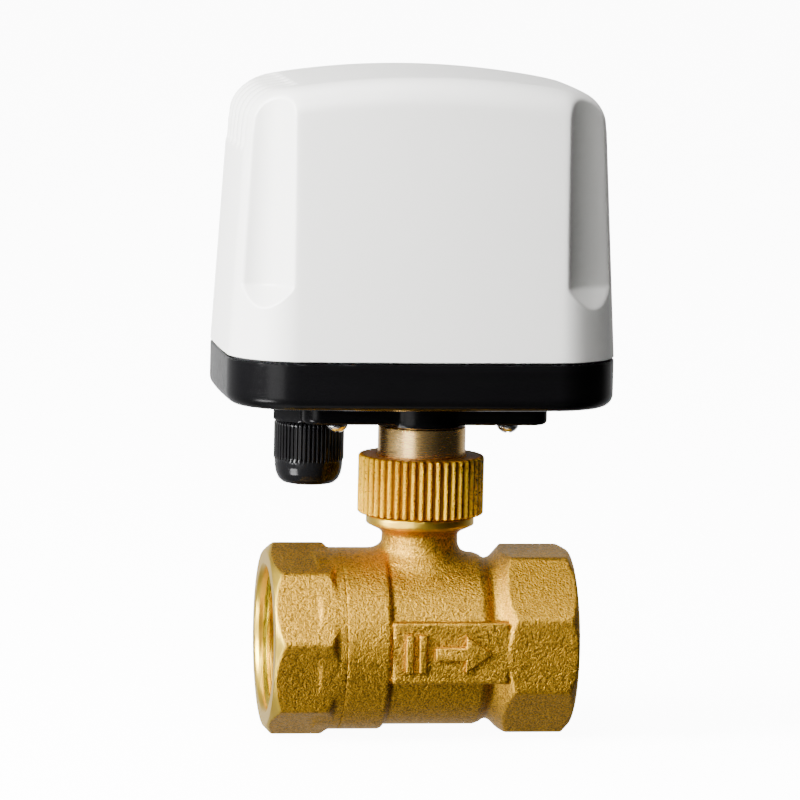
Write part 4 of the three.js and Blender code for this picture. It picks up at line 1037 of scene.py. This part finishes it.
# ------------------------------------------------------------------ stage, light, camera
def studio():
    """a pale floor that curves up into a far round wall; from below it is open, so the underside can be looked at"""
    z0, n = -0.0224, 96
    prof = [(0.0, z0), (2.0, z0), (4.2, z0)] + [(4.2 + 1.2 * math.sin(a), z0 + 1.2 * (1 - math.cos(a))) for a in np.linspace(0, math.pi / 2, 12)[1:]] + [(5.4, 5.0)]
    V = [(0.0, 0.0, z0)] + [(r * math.cos(2 * math.pi * k / n), r * math.sin(2 * math.pi * k / n), z) for r, z in prof[1:] for k in range(n)]
    F = [(0, 1 + k, 1 + (k + 1) % n) for k in range(n)]
    for i in range(len(prof) - 2):
        F += [(1 + i * n + k, 1 + (i + 1) * n + k, 1 + (i + 1) * n + (k + 1) % n, 1 + i * n + (k + 1) % n) for k in range(n)]
    fl = bpy.data.meshes.new("floor"); fl.from_pydata(V, [], F); fl.update()
    o = bpy.data.objects.new("floor", fl); scene.collection.objects.link(o)
    fl.polygons.foreach_set("use_smooth", [True] * len(fl.polygons))
    m, nt, b = new_mat("floor_paper"); co = coords(nt)
    n1 = noise(nt, co, 40, 2)
    nt.links.new(ramp(nt, n1, [(0.3, (0.90, 0.90, 0.90)), (0.7, (0.92, 0.92, 0.92))]), b.inputs["Base Color"]); b.inputs["Roughness"].default_value = 0.9
    b.inputs["Emission Color"].default_value = (1, 1, 1, 1); b.inputs["Emission Strength"].default_value = 11.0
    gl = N(nt, "ShaderNodeNewGeometry"); tr = N(nt, "ShaderNodeBsdfTransparent"); mx = N(nt, "ShaderNodeMixShader")
    out = [x for x in nt.nodes if x.bl_idname == "ShaderNodeOutputMaterial"][0]
    nt.links.new(gl.outputs["Backfacing"], mx.inputs[0]); nt.links.new(b.outputs[0], mx.inputs[1]); nt.links.new(tr.outputs[0], mx.inputs[2])
    nt.links.new(mx.outputs[0], out.inputs[0])
    fl.materials.append(m)
    o.visible_diffuse = False; o.visible_glossy = False; o.visible_shadow = False       # a backdrop only: it throws nothing back on the part


def area(name, loc, target, size, power, color=(1, 1, 1), size_y=None):
    l = bpy.data.lights.new(name, "AREA"); l.energy = power; l.color = color; l.shape = "RECTANGLE"; l.size = size; l.size_y = size_y or size
    o = bpy.data.objects.new(name, l); scene.collection.objects.link(o); o.location = loc
    d = Vector(target) - Vector(loc); o.rotation_euler = d.to_track_quat("-Z", "Y").to_euler()
    return o


studio()
w = bpy.data.worlds.new("studio"); scene.world = w; w.use_nodes = True
nt = w.node_tree; bg = nt.nodes["Background"]
tc = nt.nodes.new("ShaderNodeTexCoord"); sep = nt.nodes.new("ShaderNodeSeparateXYZ"); nt.links.new(tc.outputs["Generated"], sep.inputs[0])
# room light: brightest to the left and front, falling off to the right, the back and below
g1 = fmap(nt, sep.outputs[0], -0.9, 0.6, 1.0, 0.10); g2 = fmap(nt, sep.outputs[2], -0.5, 0.2, 0.42, 1.0)
room = math_(nt, "MULTIPLY", math_(nt, "MULTIPLY", g1, g2), 0.33)
wall = math_(nt, "MULTIPLY", fmap(nt, sep.outputs[1], 0.25, 1.0, 0.0, 1.0), fmap(nt, sep.outputs[2], 0.15, 0.6, 1.0, 0.3))      # the pale wall behind the part
nt.links.new(math_(nt, "ADD", room, wall), bg.inputs[1])
bg.inputs[0].default_value = (1.0, 1.0, 1.0, 1)
# the big left lamp lights the plastics; its reflection in metal and gloss comes from a card nearer the front
area("key_left", (-1.13, -0.44, 0.36), (0, 0, 0.05), 0.50, 108.0, size_y=0.55).visible_glossy = False
area("key_card", (-0.96, -0.54, 0.52), (0, 0, 0.05), 0.50, 58.0, size_y=0.50).visible_diffuse = False
area("card_front", (-0.74, -0.82, -0.04), (0, 0, 0.04), 0.50, 2.0, size_y=0.25).visible_diffuse = False
area("front_high", (-0.28, -0.82, 0.92), (0, 0, 0.03), 0.50, 8.5, size_y=0.40)
area("top", (-0.20, -0.05, 1.10), (0, 0, 0.1), 0.7, 14.0)
area("low_left", (-0.80, -0.39, -0.42), (0, 0, 0.03), 0.40, 8.0, size_y=0.18).visible_diffuse = False     # the two cards only show as soft highlights
area("card_high", (-0.25, -0.72, 0.80), (0, 0, 0.02), 0.50, 5.0, size_y=0.30).visible_diffuse = False
area("below", (-0.22, -0.15, -0.95), (0, 0, 0.0), 0.7, 2.0)

AZ, EL, RO, DIST, FPX, TX, TZ = -8.69, 7.1, 1.29, 1500.0, 6560.0, -5.22, 55.03
a, e = AZ * D2R, EL * D2R
back = Vector((math.sin(a) * math.cos(e), -math.cos(a) * math.cos(e), math.sin(e)))
xax = Vector((0, 0, 1)).cross(back).normalized(); yax = back.cross(xax)
c, s_ = math.cos(RO * D2R), math.sin(RO * D2R)
xr = xax * c + yax * s_; yr = -xax * s_ + yax * c
cam = bpy.data.cameras.new("camera"); co_ = bpy.data.objects.new("camera", cam); scene.collection.objects.link(co_)
loc = Vector((TX * S, 0, TZ * S)) + back * DIST * S
co_.matrix_world = Matrix(((xr.x, yr.x, back.x, loc.x), (xr.y, yr.y, back.y, loc.y), (xr.z, yr.z, back.z, loc.z), (0, 0, 0, 1)))
cam.sensor_width = 36.0; cam.lens = FPX * 36.0 / 800.0; cam.clip_start = 0.05; cam.clip_end = 20
cam.dof.use_dof = False
scene.camera = co_
